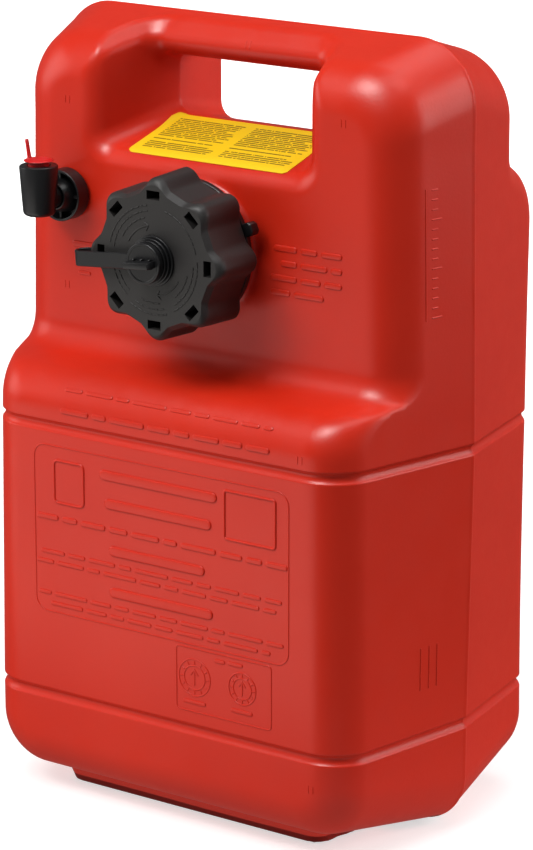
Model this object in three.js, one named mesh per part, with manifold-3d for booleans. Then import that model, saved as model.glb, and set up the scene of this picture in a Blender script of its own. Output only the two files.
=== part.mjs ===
// A portable outboard fuel tank: a blow-moulded body with a grip through its top, a lobed filler cap
// with a tethered vent screw, and a fuel outlet elbow with its pick-up tube and strainer.
// Millimetres, +Z up. The front, with the cap, faces -Y, and the mould's parting plane is y = 0.
import * as THREE from "three";
import { mergeVertices } from "three/addons/utils/BufferGeometryUtils.js";
import Module from "manifold-3d";

const wasm = await Module();
wasm.setup();

// Overall sizes of the body.
const bodyHeight = 408;
const partingHalfWidth = 128; // at the foot and at the grip
const partingBulge = 2.4; // extra half width at the upper groove
const topCorner = 33; // roundings of the parting outline
const bottomCorner = 28;
const frontDepth = 89.2; // from the parting plane to the lower front face
const upperFrontDepth = 50.4; // to the upper front face, which is set back
const rearDepth = 84; // at the top and foot of the rear wall
const rearHollow = 4.5; // the rear wall's bow inwards at mid height
const upperRearDepth = 54.6; // behind the grip
const wall = 3.5;

// Drafts, as run per unit of depth, from the parting plane towards each face.
const footDraft = 0.184; // front half's side walls at the lower groove
const waistDraft = 0.243; // and at the upper groove
const gripDraft = 0.26; // and beside the grip
const topDraft = 0.26;
const bottomDraft = 0.15;
const rearSideDraft = 0.156;
const rearWaistDraft = 0.178;
const rearTopDraft = 0.27;
const rearBottomDraft = 0.166;

// Edge roundings.
const frontRim = 19.5;
const rearRim = 14.5;

// Foot.
const footHeight = 14; // how far it reaches up into the body
const footHalfWidth = 91.5; // at the parting plane
const footFront = 62.4;
const footRear = 58;
const footDraftIn = 0.3; // each side leans in towards the floor
const ridgeLift = 0.8; // the parting ridge stays this far off the floor

// Recess and grip.
const recessHalfWidth = 49; // at the parting plane
const recessShift = -2.6; // of its middle
const recessDraft = 0.35;
const recessRearDraft = 0.22;
const recessDepth = 53.8; // below the top, at the parting plane
const recessFloor = bodyHeight - recessDepth;
const floorSlope = 0.267;
const rearFloorSlope = 0.22;
const recessFillet = 9;
const recessLip = 8;
const recessRearLip = 4;
const gripThickness = 21.6;
const gripUnderside = bodyHeight - gripThickness;
const gripFront = 15.6;
const gripRear = 20.8;
const gripRounding = 8.5;

// Shoulder under the cap, where the lower front stands out.
const shoulderDrop = 125.6; // from the recess floor to where its top would meet the lower front face
const shoulderTop = recessFloor - shoulderDrop;
const shoulderSlope = 0.224;
const shoulderEdge = 15;
const shoulderHollow = 16;
const shoulderSquareness = 0.8; // how squarely its top meets the side walls

// Rear shoulder under the grip.
const rearShoulderDrop = 15.7;
const rearShoulderTop = recessFloor - rearShoulderDrop;
const rearShoulderEdge = 34;
const rearShoulderHollow = 5;

// Ring grooves moulded round the body.
const lowGroove = 58.5;
const grooveDrop = 24.6; // of the upper one, below the shoulder
const grooveHeights = [lowGroove, shoulderTop - grooveDrop];
const grooveWidth = 6;
const grooveDepth = 1.9;

// Filler neck and cap. Stations run out along an axis from the upper front face.
const fillerDrop = 54.2; // from the recess floor to the axis
const fillerHeight = recessFloor - fillerDrop;
const neckBore = 22.5;
const neckRadius = 25;
const neckLength = 32.8;
const threadPitch = 6;
const threadDepth = 1.6;
const threadWidth = 2.6;
const neckThread = { start: 23, turns: 1.25 };
const coreThread = { start: 20, turns: 0.75 }; // half a pitch from the neck's
const clearance = 0.4; // between pieces that fit in one another
const seatGap = 0.3; // between faces that rest on one another

// Boss under the neck, and the locking ring that lies on it behind the cap.
const neckBase = { radius: 32, height: 7.4 };
const ring = { radius: 36.4, thickness: 3.4, edge: 0.8 };
const ringTab = { reach: 4.6, width: 7, height: 6, angle: 22.5 };

// Cap.
const capLobes = 8;
const capTip = 41.2; // radius over the lobes
const capValley = 35.8;
const lobeRadius = 8;
const lobeBlend = 5;
const capStart = 12; // station of the skirt's edge
const capFace = 41.1;
const capEdge = 3;
const skirtDraft = 0.04;
const skirtEdge = 0.8;
const faceThickness = 2.4;
const pocket = { length: 8, width: 4.5, radius: 32.8, depth: 16 };
const coreWall = 2.2;
const coreStart = 14.5;
const coreDisc = 2.6;
const gasketThickness = 2.3;

// Vent screw and its tether. The boss on the cap is two rings with a groove between them.
const bossFlange = { radius: 12.8, end: 1.5 };
const bossGroove = { radius: 10, end: 2.1 };
const bossRing = { radius: 11.8, end: 3.3 };
const ventBore = 3.4;
const ventTurn = 5; // degrees by which the strap and the wing are off level
const ventSeal = { radius: 5.9, thickness: 1.5 };
const strap = { eye: 10.9, width: 7.9, thickness: 1.5, reach: 48, bend: 5.2, foot: 2 };
const screwHead = { radius: 10.4, thickness: 3.7, edge: 0.7 };
const screwStem = 10;
const wing = { length: 15, thickness: 3.4, height: 6.4 };

// Fuel outlet, on an axis of its own through the upper front face.
const outletInset = 43.2; // from the parting outline
const outletDrop = 37.4; // below the recess floor
const outlet = { x: outletInset - partingHalfWidth, z: recessFloor - outletDrop };
const spout = { radius: 7, length: 5 }; // moulded stub under the nut
const sealThickness = 1.2;
const elbowFlange = 1.6;
const elbowTube = 5.4;
const passage = 3;
const tail = { radius: 4.4, length: 20 }; // inside the tank
const nut = { radius: 13.4, start: 1.2, rimEnd: 9.8, rimWall: 1.3, web: 2.4, hubWall: 1.6, hubEnd: 13.3 };
const nutRibs = 4;
const nutRibThickness = 1.4;
const barrel = { station: 25.5, shift: 0.3, top: 10, bottom: 8.2, rise: 18.6, drop: 7.4, rounding: 2.6 };
const socket = { radius: 5.9, depth: 15 };

// Shipping plug in the elbow's socket.
const plug = { disc: 7.7, thickness: 1.2, stand: 2, stem: 9 };
const pullTab = { width: 2.4, thickness: 1.4, height: 9.5, lean: 10, inset: 1.8 };

// Pick-up hose and strainer.
const hose = { radius: 6.2, overlap: 12, bend: 22, end: 34 }; // its lower end is above the floor
const strainer = { radius: 7.5, wall: 1.4, floor: 9.5, spigot: 10, band: 3, windows: 4 };
const meshWall = 0.5;

// Sticker on the recess floor.
const labelInsets = { left: -2, right: 1.2, front: 4.6, rear: 2, wall: 3.5 };
const label = {
  left: labelInsets.left - recessHalfWidth,
  right: recessHalfWidth - labelInsets.right,
  front: labelInsets.front - upperFrontDepth,
  rear: -labelInsets.rear,
  thickness: 0.35,
  gap: 0.6,
};

const overrun = 20; // how far a cutter passes the face that it cuts
const halvings = 40; // steps of each search for a surface
const roundSides = 40;
const rodSides = 28;
const boreSides = 20;
const threadSteps = 24; // a turn
const hoseSteps = 26;
const hoseSides = 18;

// Helpers on solids.
function toSolid(geometry) {
  const bare = geometry.index ? geometry.toNonIndexed() : geometry.clone();
  for (const name of Object.keys(bare.attributes)) {
    if (name !== "position") bare.deleteAttribute(name);
  }
  const merged = mergeVertices(bare, 1e-4);
  return new wasm.Manifold(
    new wasm.Mesh({
      numProp: 3,
      vertProperties: new Float32Array(merged.attributes.position.array),
      triVerts: new Uint32Array(merged.index.array),
    }),
  );
}

function toGeometry(solid) {
  const mesh = solid.getMesh();
  const geometry = new THREE.BufferGeometry();
  geometry.setAttribute("position", new THREE.BufferAttribute(mesh.vertProperties, mesh.numProp));
  geometry.setIndex(new THREE.BufferAttribute(mesh.triVerts, 1));
  return geometry;
}

// Smaller of two insets, rounded with a radius where both are small.
function roundedMin(a, b, radius) {
  if (a >= radius || b >= radius) return Math.min(a, b);
  return radius - Math.hypot(radius - a, radius - b);
}

function roundedMax(a, b, radius) {
  return -roundedMin(-a, -b, radius);
}

const mix = (from, to, share) => from + (to - from) * Math.min(1, Math.max(0, share));

// A value that is atEnds at the foot and the grip and atWaist at the upper groove.
function byHeight(z, atFoot, atWaist, atGrip) {
  const [low, waist] = grooveHeights;
  if (z < waist) return mix(atFoot, atWaist, (z - low) / (waist - low));
  return mix(atWaist, atGrip, (z - waist) / (recessFloor - waist));
}

const halfWidthAt = (z) =>
  byHeight(z, partingHalfWidth, partingHalfWidth + partingBulge, partingHalfWidth);

function rearDepthAt(z) {
  const middle = rearShoulderTop / 2;
  const share = Math.min(1, Math.abs(z - middle) / middle);
  return rearDepth - rearHollow * (1 - share * share);
}

// Distance inside the drafted walls, of a point at a depth from the parting plane.
function wallInset(x, z, depth, side, top, bottom) {
  const across = halfWidthAt(z) - side * depth - Math.abs(x);
  const roof = bodyHeight - top * depth - z;
  const floor = z - ridgeLift - bottom * depth;
  return roof < floor ? roundedMin(across, roof, topCorner) : roundedMin(across, floor, bottomCorner);
}

// Distance behind the front face, with its shoulder.
function frontInset(depth, z) {
  const under = shoulderTop - z + shoulderSlope * (frontDepth - depth);
  const lower = roundedMin(frontDepth - depth, under, shoulderEdge);
  return roundedMax(lower, upperFrontDepth - depth, shoulderHollow);
}

function rearInset(depth, z) {
  const lower = roundedMin(rearDepthAt(z) - depth, rearShoulderTop - z, rearShoulderEdge);
  return roundedMax(lower, upperRearDepth - depth, rearShoulderHollow);
}

// Depth at which a face's inset runs out.
function depthOf(inset, z) {
  let near = 0;
  let far = bodyHeight;
  for (let i = 0; i < halvings; i += 1) {
    const middle = (near + far) / 2;
    if (inset(middle, z) > 0) near = middle;
    else far = middle;
  }
  return near;
}

const frontDepths = new Map();
function frontDepthAt(z) {
  if (!frontDepths.has(z)) frontDepths.set(z, depthOf(frontInset, z));
  return frontDepths.get(z);
}

function grooveAt(z) {
  let cut = 0;
  for (const height of grooveHeights) {
    const off = Math.abs(z - height) / (grooveWidth / 2);
    if (off < 1) cut = grooveDepth * (1 - off * off);
  }
  return cut;
}

// Distance inside the closed body, before the recess is cut.
function bodyInset(x, y, z) {
  if (y < 0) {
    const side = byHeight(z, footDraft, waistDraft, gripDraft);
    const walls = wallInset(x, z, -y, side, topDraft, bottomDraft);
    const level = frontDepthAt(z) + y;
    return roundedMin(walls, mix(frontInset(-y, z), level, shoulderSquareness), frontRim) - grooveAt(z);
  }
  const side = byHeight(z, rearSideDraft, rearWaistDraft, rearSideDraft);
  const walls = wallInset(x, z, y, side, rearTopDraft, rearBottomDraft);
  return roundedMin(walls, rearInset(y, z), rearRim) - grooveAt(z);
}

// How far the recess widens where it comes out through the body.
function flareAt(x, y, z) {
  const radius = y < 0 ? recessLip : recessRearLip;
  const past = radius - Math.min(radius, Math.max(0, bodyInset(x, y, z)));
  return radius - Math.sqrt(radius * radius - past * past);
}

const recessSideAt = (y) => recessHalfWidth + Math.abs(y) * (y < 0 ? recessDraft : recessRearDraft);
const recessFloorAt = (y) => recessFloor - Math.abs(y) * (y < 0 ? floorSlope : rearFloorSlope);

// Distance inside the recess, which runs right through and is open at the top.
function recessInset(x, y, z) {
  const flare = flareAt(x, y, z);
  const side = recessSideAt(y) + flare - Math.abs(x - recessShift);
  return roundedMin(side, z - recessFloorAt(y) + flare, recessFillet);
}

// Length of a ray inside a shape, by halving.
function reachAlong(inset, origin, direction, most) {
  let near = 0;
  let far = most;
  for (let i = 0; i < halvings; i += 1) {
    const middle = (near + far) / 2;
    const p = origin.clone().addScaledVector(direction, middle);
    if (inset(p.x, p.y, p.z) > 0) near = middle;
    else far = middle;
  }
  return near;
}

// A closed mesh whose vertices lie on a shape, where rays from the middle line meet it. A row is
// [origin height, target height, share]: its rays leave the middle line at the first and aim at the
// box that reach(target height) gives, drawn in by the share. A share of zero is a pole.
function castSolid(inset, rows, columnShares, reach, most) {
  const points = [];
  const rings = rows.map(([from, to, share]) => {
    const origin = new THREE.Vector3(0, 0, from);
    const box = reach(to);
    const shares = share === 0 ? [[0, 0]] : columnShares;
    return shares.map(([u, v]) => {
      const depth = v < 0 ? v * box.front : v * box.rear;
      const aim = new THREE.Vector3(u * box.side * share, depth * share, to - from).normalize();
      points.push(origin.clone().addScaledVector(aim, reachAlong(inset, origin, aim, most)));
      return points.length - 1;
    });
  });
  const faces = [];
  for (let r = 0; r + 1 < rings.length; r += 1) {
    const [low, high] = [rings[r], rings[r + 1]];
    const count = Math.max(low.length, high.length);
    for (let i = 0; i < count; i += 1) {
      const j = (i + 1) % count;
      const [a, b] = [low[i % low.length], low[j % low.length]];
      const [c, d] = [high[j % high.length], high[i % high.length]];
      if (a !== b) faces.push(a, b, c);
      if (c !== d) faces.push(a, c, d);
    }
  }
  const geometry = new THREE.BufferGeometry().setFromPoints(points);
  geometry.setIndex(faces);
  return toSolid(geometry);
}

// Round a box once, counter-clockwise from above, starting at the middle of the front.
function ringShares(frontShares, sideShares, rearShares) {
  const right = [
    ...frontShares.map((u) => [u, -1]),
    ...sideShares.map((v) => [1, v]),
    ...rearShares.map((u) => [u, 1]),
  ];
  const left = right.slice(1, -1).reverse();
  return [...right, ...left.map(([u, v]) => [-u, v])];
}

const bodyColumnShares = ringShares(
  [0, 0.3, 0.55, 0.66, 0.72, 0.78, 0.84, 0.9, 0.96],
  [-0.93, -0.84, -0.74, -0.62, -0.35, 0, 0.35, 0.65, 0.78, 0.86, 0.94],
  [0.97, 0.91, 0.85, 0.78, 0.7, 0.35, 0],
);
const capRowShares = [0.3, 0.55, 0.7, 0.8, 0.87, 0.93, 1];
const capDropShares = [0.93, 0.82, 0.68, 0.5, 0.28];
const grooveRowShares = [-1.6, -1, -0.5, 0, 0.5, 1, 1.6];
const flatRowShares = [0.2, 0.4, 0.6, 0.8];
const shoulderRowShares = [1.2, 0.8, 0.5, 0.25, 0, -0.2, -0.5, -0.9, -1.4, -1.9];
const neckRowShares = [0.4, 0.6];
const rearRowShares = [1, 0.75, 0.5, 0.3, 0.15, 0.05, 0, -0.06, -0.2];
const lowCentre = lowGroove - frontRim; // where the rays to the floor leave the middle line
const highCentre = recessFloor; // and those to the top

function bodyReach(z) {
  return { side: halfWidthAt(z), front: depthOf(frontInset, z), rear: depthOf(rearInset, z) };
}

function grooveRows(height) {
  return grooveRowShares.map((share) => height + (share * grooveWidth) / 2);
}

function makeBody() {
  const highGroove = grooveHeights[1];
  const heights = [
    lowCentre,
    ...grooveRows(lowGroove),
    ...flatRowShares.map((share) => mix(lowGroove, highGroove, share)),
    ...grooveRows(highGroove),
    ...shoulderRowShares.map((share) => shoulderTop - share * shoulderEdge),
    ...neckRowShares.map((share) => mix(shoulderTop, rearShoulderTop, share)),
    ...rearRowShares.map((share) => rearShoulderTop - share * rearShoulderEdge),
    highCentre,
  ];
  const rows = [
    [lowCentre, 0, 0],
    ...capRowShares.map((share) => [lowCentre, 0, share]),
    ...capDropShares.map((share) => [lowCentre, mix(lowCentre, 0, share), 1]),
    ...heights.map((z) => [z, z, 1]),
    ...capDropShares.toReversed().map((share) => [highCentre, mix(highCentre, bodyHeight, share), 1]),
    ...capRowShares.toReversed().map((share) => [highCentre, bodyHeight, share]),
    [highCentre, bodyHeight, 0],
  ];
  return castSolid(bodyInset, rows, bodyColumnShares, bodyReach, bodyHeight);
}

function fromShape(shape, depth, options = {}) {
  return new THREE.ExtrudeGeometry(shape, { depth, bevelEnabled: false, curveSegments: 8, ...options });
}

function lathe(profile, sides = roundSides) {
  const points = profile.map(([radius, station]) => new THREE.Vector2(radius, station));
  return new THREE.LatheGeometry(points, sides).rotateX(Math.PI / 2);
}

// A plain turned ring or rod between two stations.
function tube(inner, outer, from, to, sides = roundSides) {
  const profile = [
    [inner, from],
    [outer, from],
    [outer, to],
    [inner, to],
  ];
  if (inner > 0) profile.push(profile[0]);
  return lathe(profile, sides);
}

function block(width, depth, height, x, y, z) {
  return new THREE.BoxGeometry(width, depth, height).translate(x, y, z);
}

const asSolid = (shape) => (shape.isBufferGeometry ? toSolid(shape) : shape);
const join = (...shapes) => shapes.map(asSolid).reduce((a, b) => a.add(b));
const cut = (from, ...shapes) => shapes.map(asSolid).reduce((a, b) => a.subtract(b), asSolid(from));

// Steps round a circle, as angles.
const round = (count, start = 0) =>
  Array.from({ length: count }, (_, i) => start + (i * 2 * Math.PI) / count);

const threadEndShare = 0.15;
const threadFadeShare = 0.125;
const crestShare = 0.2;

// A helical ridge of trapezium section. It stands out from the root by the height, or in if that is
// negative, and dies away into it at both ends.
function threadRidge(root, height, { start, turns }) {
  const steps = Math.round(turns * threadSteps);
  const sections = [];
  for (let i = 0; i <= steps; i += 1) {
    const share = i / steps;
    const angle = share * turns * 2 * Math.PI;
    const fade = Math.min(1, threadEndShare + Math.min(share, 1 - share) / threadFadeShare);
    const middle = start + share * turns * threadPitch;
    const crest = root + height * fade;
    const base = root - (Math.sign(height) * threadDepth) / 4;
    const section = [
      [base, -threadWidth / 2],
      [base, threadWidth / 2],
      [crest, threadWidth * crestShare],
      [crest, -threadWidth * crestShare],
    ].map(
      ([radius, along]) =>
        new THREE.Vector3(radius * Math.cos(angle), radius * Math.sin(angle), middle + along),
    );
    sections.push(height > 0 ? section : section.reverse());
  }
  return toGeometry(loft(sections));
}

const part = new THREE.Group();

// Frames of the filler and the outlet: +Z leaves the tank's face, +Y is up.
const filler = new THREE.Group();
filler.position.set(0, -upperFrontDepth, fillerHeight);
filler.rotation.x = Math.PI / 2;
part.add(filler);
const outletFrame = new THREE.Group();
outletFrame.position.set(outlet.x, -upperFrontDepth, outlet.z);
outletFrame.rotation.x = Math.PI / 2;
part.add(outletFrame);
part.updateMatrixWorld(true);

function addPiece(parent, name, solid, color, roughness, metalness = 0) {
  const geometry = solid.isBufferGeometry ? solid : toGeometry(solid);
  const mesh = new THREE.Mesh(geometry, new THREE.MeshStandardMaterial({ color, roughness, metalness }));
  mesh.name = name;
  parent.add(mesh);
}

const tankRed = 0xc8382e;
const capGrey = 0x3d3d3c;
const fittingBlack = 0x161718;
const sealBlack = 0x101010;

// A skin over sections that all have the same number of points, closed at both ends.
function loft(sections) {
  const points = sections.flat();
  const count = sections[0].length;
  const outline = sections[0].map((p) => new THREE.Vector2(p.x, p.z));
  const far = points.length - count;
  const caps = THREE.ShapeUtils.triangulateShape(outline, []).map(([a, b, c]) => {
    const turned = THREE.ShapeUtils.area([outline[a], outline[b], outline[c]]);
    return turned * THREE.ShapeUtils.area(outline) < 0 ? [a, c, b] : [a, b, c];
  });
  const faces = caps.flatMap(([a, b, c]) => [a, b, c, far + a, far + c, far + b]);
  for (let i = 0; i < far; i += count) {
    for (let k = 0; k < count; k += 1) {
      const [a, b] = [i + k, i + ((k + 1) % count)];
      faces.push(b, a, a + count, b, a + count, b + count);
    }
  }
  const geometry = new THREE.BufferGeometry().setFromPoints(points).setIndex(faces);
  const solid = toSolid(geometry);
  if (solid.volume() > 0) return solid;
  for (let i = 0; i < faces.length; i += 3) [faces[i], faces[i + 1]] = [faces[i + 1], faces[i]];
  return toSolid(geometry.setIndex(faces));
}

// Tank shell.
const filletSteps = 5;
const lipShares = [0, 0.15, 0.5, 1];

// One section of the recess across the body, from its upper right corner down, over and up again.
function recessSection(y, growth) {
  const side = recessSideAt(y);
  const floor = recessFloorAt(y);
  const radius = recessFillet - growth;
  const lip = y < 0 ? recessLip : recessRearLip;
  const right = [];
  const sideFlare = (z) => flareAt(recessShift + side, y, z);
  const within = Math.max(recessLip - upperFrontDepth, Math.min(upperRearDepth - recessRearLip, y));
  const start = new THREE.Vector3(recessShift + side, within, floor);
  const top = floor + reachAlong(bodyInset, start, new THREE.Vector3(0, 0, 1), bodyHeight);
  for (const z of [bodyHeight + overrun, ...lipShares.map((share) => top - share * lip)]) {
    right.push([side + sideFlare(z) + growth, z]);
  }
  const low = floor - flareAt(recessShift, y, floor) - growth;
  const wide = side + sideFlare(floor + radius) + growth;
  for (let i = 0; i <= filletSteps; i += 1) {
    const angle = (i / filletSteps) * (Math.PI / 2);
    right.push([wide - radius * (1 - Math.cos(angle)), low + radius * (1 - Math.sin(angle))]);
  }
  const left = right.map(([x, z]) => [-x, z]).reverse();
  return [...right, ...left].map(([x, z]) => new THREE.Vector3(x + recessShift, y, z));
}

function makeRecess(growth = 0) {
  const depths = [
    -upperFrontDepth - overrun,
    ...lipShares.map((share) => -upperFrontDepth + share * recessLip),
    -upperFrontDepth / 2,
    0,
    ...lipShares.toReversed().map((share) => upperRearDepth - share * recessRearLip),
    upperRearDepth + overrun,
  ];
  return loft(depths.map((y) => recessSection(y, growth)));
}

// The grip's section is drawn in depth and height, then run across the recess.
function makeGrip() {
  const top = bodyHeight - topDraft * gripFront;
  const r = gripRounding;
  const section = new THREE.Shape();
  section.moveTo(-gripFront + r, gripUnderside);
  section.lineTo(gripRear - r, gripUnderside);
  section.quadraticCurveTo(gripRear, gripUnderside, gripRear, gripUnderside + r);
  section.lineTo(gripRear, top - r);
  section.quadraticCurveTo(gripRear, top, gripRear - r, bodyHeight + r);
  section.lineTo(0, bodyHeight + r);
  section.lineTo(-gripFront + r, top);
  section.quadraticCurveTo(-gripFront, top - r / 2, -gripFront, top - r);
  section.lineTo(-gripFront, gripUnderside + r);
  section.quadraticCurveTo(-gripFront, gripUnderside, -gripFront + r, gripUnderside);
  const half = partingHalfWidth;
  const bar = fromShape(section, 2 * half).applyMatrix4(
    new THREE.Matrix4().set(0, 0, 1, -half, 1, 0, 0, 0, 0, 1, 0, 0, 0, 0, 0, 1),
  );
  return toSolid(bar);
}

const cavityFlatShares = [0, 0.35, 0.7];
const cavityRearShares = [1, 0.5, 0.15, 0];
const cavityCapShares = [0.45, 0.75, 0.9, 1];
const cavityDropShare = 0.6;
const cavityShoulderShares = [-0.95, -0.5, -0.2, 0, 0.15, 0.28, 0.4, 0.6, 0.95, 1.7];
const cavityColumnShares = ringShares([0, 0.5, 0.75, 0.9], [-0.85, -0.5, 0, 0.5, 0.85], [0.9, 0.7, 0]);

function makeCavity() {
  const inner = (x, y, z) => Math.min(bodyInset(x, y, z) + grooveAt(z), bodyHeight) - wall;
  const low = lowCentre;
  const waist = shoulderTop - wall;
  const heights = [
    ...cavityFlatShares.map((share) => mix(low, waist - shoulderEdge, share)),
    ...cavityShoulderShares.map((share) => waist + share * shoulderEdge),
    ...cavityRearShares.map((share) => rearShoulderTop - share * rearShoulderEdge - wall),
    highCentre,
  ];
  const rows = [
    [low, 0, 0],
    ...cavityCapShares.map((share) => [low, 0, share]),
    [low, mix(low, 0, cavityDropShare), 1],
    ...heights.map((z) => [z, z, 1]),
    [highCentre, mix(highCentre, bodyHeight, cavityDropShare), 1],
    ...cavityCapShares.toReversed().map((share) => [highCentre, bodyHeight, share]),
    [highCentre, bodyHeight, 0],
  ];
  return castSolid(inner, rows, cavityColumnShares, bodyReach, bodyHeight);
}

// A pedestal under both halves, drawn in towards the floor.
function makeFoot() {
  const ring = (z, lean) => {
    const front = footFront + lean;
    const rear = footRear + lean;
    const across = (depth, draft) => footHalfWidth + lean - draft * depth;
    const [a, b, c] = [across(front, footDraft), across(0, 0), across(rear, rearSideDraft)];
    return [
      [-a, -front],
      [a, -front],
      [b, 0],
      [c, rear],
      [-c, rear],
      [-b, 0],
    ].map(([x, y]) => new THREE.Vector3(x, y, z));
  };
  const points = [...ring(0, 0), ...ring(footHeight, footDraftIn * footHeight)];
  const faces = [];
  const count = points.length / 2;
  for (let k = 0; k < count; k += 1) {
    const next = (k + 1) % count;
    faces.push(k, next, k + count, next, next + count, k + count);
  }
  for (let k = 1; k + 1 < count; k += 1) faces.push(0, k + 1, k, count, count + k, count + k + 1);
  return toSolid(new THREE.BufferGeometry().setFromPoints(points).setIndex(faces));
}

function makeTankShell() {
  const inFiller = (geometry) => geometry.applyMatrix4(filler.matrixWorld);
  const inOutlet = (geometry) => geometry.applyMatrix4(outletFrame.matrixWorld);
  const spouts = join(
    inFiller(tube(0, neckRadius, -wall, neckLength)),
    inFiller(tube(0, neckBase.radius, -wall / 2, neckBase.height)),
    inFiller(threadRidge(neckRadius, threadDepth, neckThread)),
    inOutlet(tube(0, spout.radius, -wall, spout.length)),
  );
  const hollow = makeCavity().subtract(makeRecess(wall));
  const solid = makeBody().subtract(makeRecess().subtract(makeGrip())).add(makeFoot()).add(spouts);
  return cut(
    solid.subtract(hollow),
    inFiller(tube(0, neckBore, -3 * wall, neckLength + overrun)),
    inOutlet(tube(0, tail.radius + clearance, -3 * wall, spout.length + overrun, rodSides)),
  );
}
addPiece(part, "tank_shell", makeTankShell(), tankRed, 0.38);

const labelColumnShares = [0, 0.02, 0.04, 0.06, 0.08, 0.1, 0.15, 0.85, 0.9, 0.92, 0.94, 0.96, 0.98, 1];
const labelRowShares = [0, 0.25, 0.5, 0.75, 1];

// Sticker, which follows the recess floor and starts up its left wall.
function makeLabel() {
  const above = (x, y, gap) => {
    const start = new THREE.Vector3(x, y, recessFloor + recessFillet + recessLip);
    const inset = (a, b, c) => recessInset(a, b, c) - gap;
    return start.z - reachAlong(inset, start, new THREE.Vector3(0, 0, -1), bodyHeight);
  };
  const sheet = (gap) =>
    labelRowShares.map((v) =>
      labelColumnShares.map((u) => {
        const y = mix(label.front, label.rear, v);
        const most = recessSideAt(y) - labelInsets.wall;
        const [left, right] = [recessShift - most, recessShift + most];
        const x = mix(Math.max(label.left, left), Math.min(label.right, right), u);
        return new THREE.Vector3(x, y, above(x, y, gap));
      }),
    );
  const [under, upper] = [sheet(label.gap), sheet(label.gap + label.thickness)];
  return loft(under.map((low, i) => [...low, ...upper[i].toReversed()]));
}
addPiece(part, "label_sheet", makeLabel(), 0xf4c41c, 0.5);

// Locking ring, with a tab to turn it by.
function makeRing() {
  const { radius, thickness, edge } = ring;
  const inner = neckRadius + clearance;
  const near = neckBase.height + seatGap;
  const far = near + thickness;
  const disc = lathe([
    [inner, near],
    [radius - edge, near],
    [radius, near + edge],
    [radius, far - edge],
    [radius - edge, far],
    [inner, far],
    [inner, near],
  ]);
  const tab = block(2 * ringTab.reach, ringTab.width, ringTab.height, radius, 0, far - ringTab.height / 2);
  return cut(
    join(disc, tab.rotateZ(THREE.MathUtils.degToRad(ringTab.angle))),
    tube(0, neckBase.radius + clearance, -overrun, near),
  );
}
addPiece(filler, "neck_ring", makeRing(), fittingBlack, 0.45);

// Cap shell. Its outline is a circle with lobes run into it.
const lobeColumns = 14;

function lobedRadius(angle) {
  const step = (2 * Math.PI) / capLobes;
  const away = angle - step * Math.round(angle / step);
  const centre = capTip - lobeRadius;
  const inset = (radius) => {
    const [x, y] = [radius * Math.cos(away), radius * Math.sin(away)];
    return roundedMax(capValley - radius, lobeRadius - Math.hypot(x - centre, y), lobeBlend);
  };
  let near = capValley / 2;
  let far = capTip + lobeBlend;
  for (let i = 0; i < halvings; i += 1) {
    const middle = (near + far) / 2;
    if (inset(middle) > 0) near = middle;
    else far = middle;
  }
  return near;
}

const capEdgeShares = [0, 0.3, 0.6, 0.85, 1];

function makeLobedSolid() {
  const angles = round(capLobes * lobeColumns);
  const radii = angles.map(lobedRadius);
  const edge = capEdgeShares.map((share) => {
    const angle = (share * Math.PI) / 2;
    return [capFace - capEdge * (1 - Math.sin(angle)), capEdge * (1 - Math.cos(angle))];
  });
  const rows = [[capStart, skirtEdge], [capStart + skirtEdge, 0], ...edge];
  const points = [new THREE.Vector3(0, 0, capStart)];
  for (const [station, inset] of rows) {
    angles.forEach((angle, i) => {
      const radius = radii[i] - inset + skirtDraft * (capFace - station);
      points.push(new THREE.Vector3(radius * Math.cos(angle), radius * Math.sin(angle), station));
    });
  }
  points.push(new THREE.Vector3(0, 0, capFace));
  const count = angles.length;
  const faces = [];
  for (let k = 0; k < count; k += 1) {
    const next = (k + 1) % count;
    faces.push(0, 1 + next, 1 + k);
    for (let r = 0; r + 1 < rows.length; r += 1) {
      const [a, b] = [1 + r * count + k, 1 + r * count + next];
      faces.push(a, b, b + count, a, b + count, a + count);
    }
    const top = 1 + (rows.length - 1) * count;
    faces.push(top + k, top + next, points.length - 1);
  }
  return toSolid(new THREE.BufferGeometry().setFromPoints(points).setIndex(faces));
}

const coreOuter = neckRadius + threadDepth + clearance + coreWall;
const strapStart = capFace + bossRing.end + seatGap;
const ventAngle = THREE.MathUtils.degToRad(ventTurn);

function makeCapShell() {
  const { length, width, radius, depth } = pocket;
  const pockets = round(capLobes).map((angle) =>
    block(width, length, depth + clearance, radius, 0, capFace - depth / 2).rotateZ(angle),
  );
  const boss = [bossFlange, bossGroove, bossRing].map(({ radius: outer, end }) =>
    tube(0, outer, capFace - faceThickness / 2, capFace + end),
  );
  const slot = block(2 * (strap.foot + clearance), strap.width, strap.thickness, 0, 0, 0);
  slot.scale(1, 1 + (2 * clearance) / strap.width, 1 + (2 * clearance) / strap.thickness);
  slot.translate(-capTip, 0, strapStart + strap.thickness * 1.5 - 2 * strap.bend).rotateZ(ventAngle);
  return cut(
    join(makeLobedSolid(), ...boss),
    tube(0, coreOuter + clearance, capStart - overrun, capFace - faceThickness),
    tube(0, ventBore, capStart, capFace + overrun, boreSides),
    slot,
    ...pockets,
  );
}
addPiece(filler, "cap_shell", makeCapShell(), capGrey, 0.55);

// Threaded cup inside the cap.
const discEnd = capFace - faceThickness - seatGap;
const discStart = discEnd - coreDisc;

function makeCapCore() {
  const inner = coreOuter - coreWall;
  const cup = cut(
    tube(0, coreOuter, coreStart, discEnd),
    tube(0, inner, coreStart - overrun, discStart),
    tube(0, ventBore + clearance, coreStart, discEnd + overrun, boreSides),
  );
  return cup.add(toSolid(threadRidge(inner, -threadDepth, coreThread)));
}
addPiece(filler, "cap_core", makeCapCore(), 0x2a2a2b, 0.6);

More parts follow.
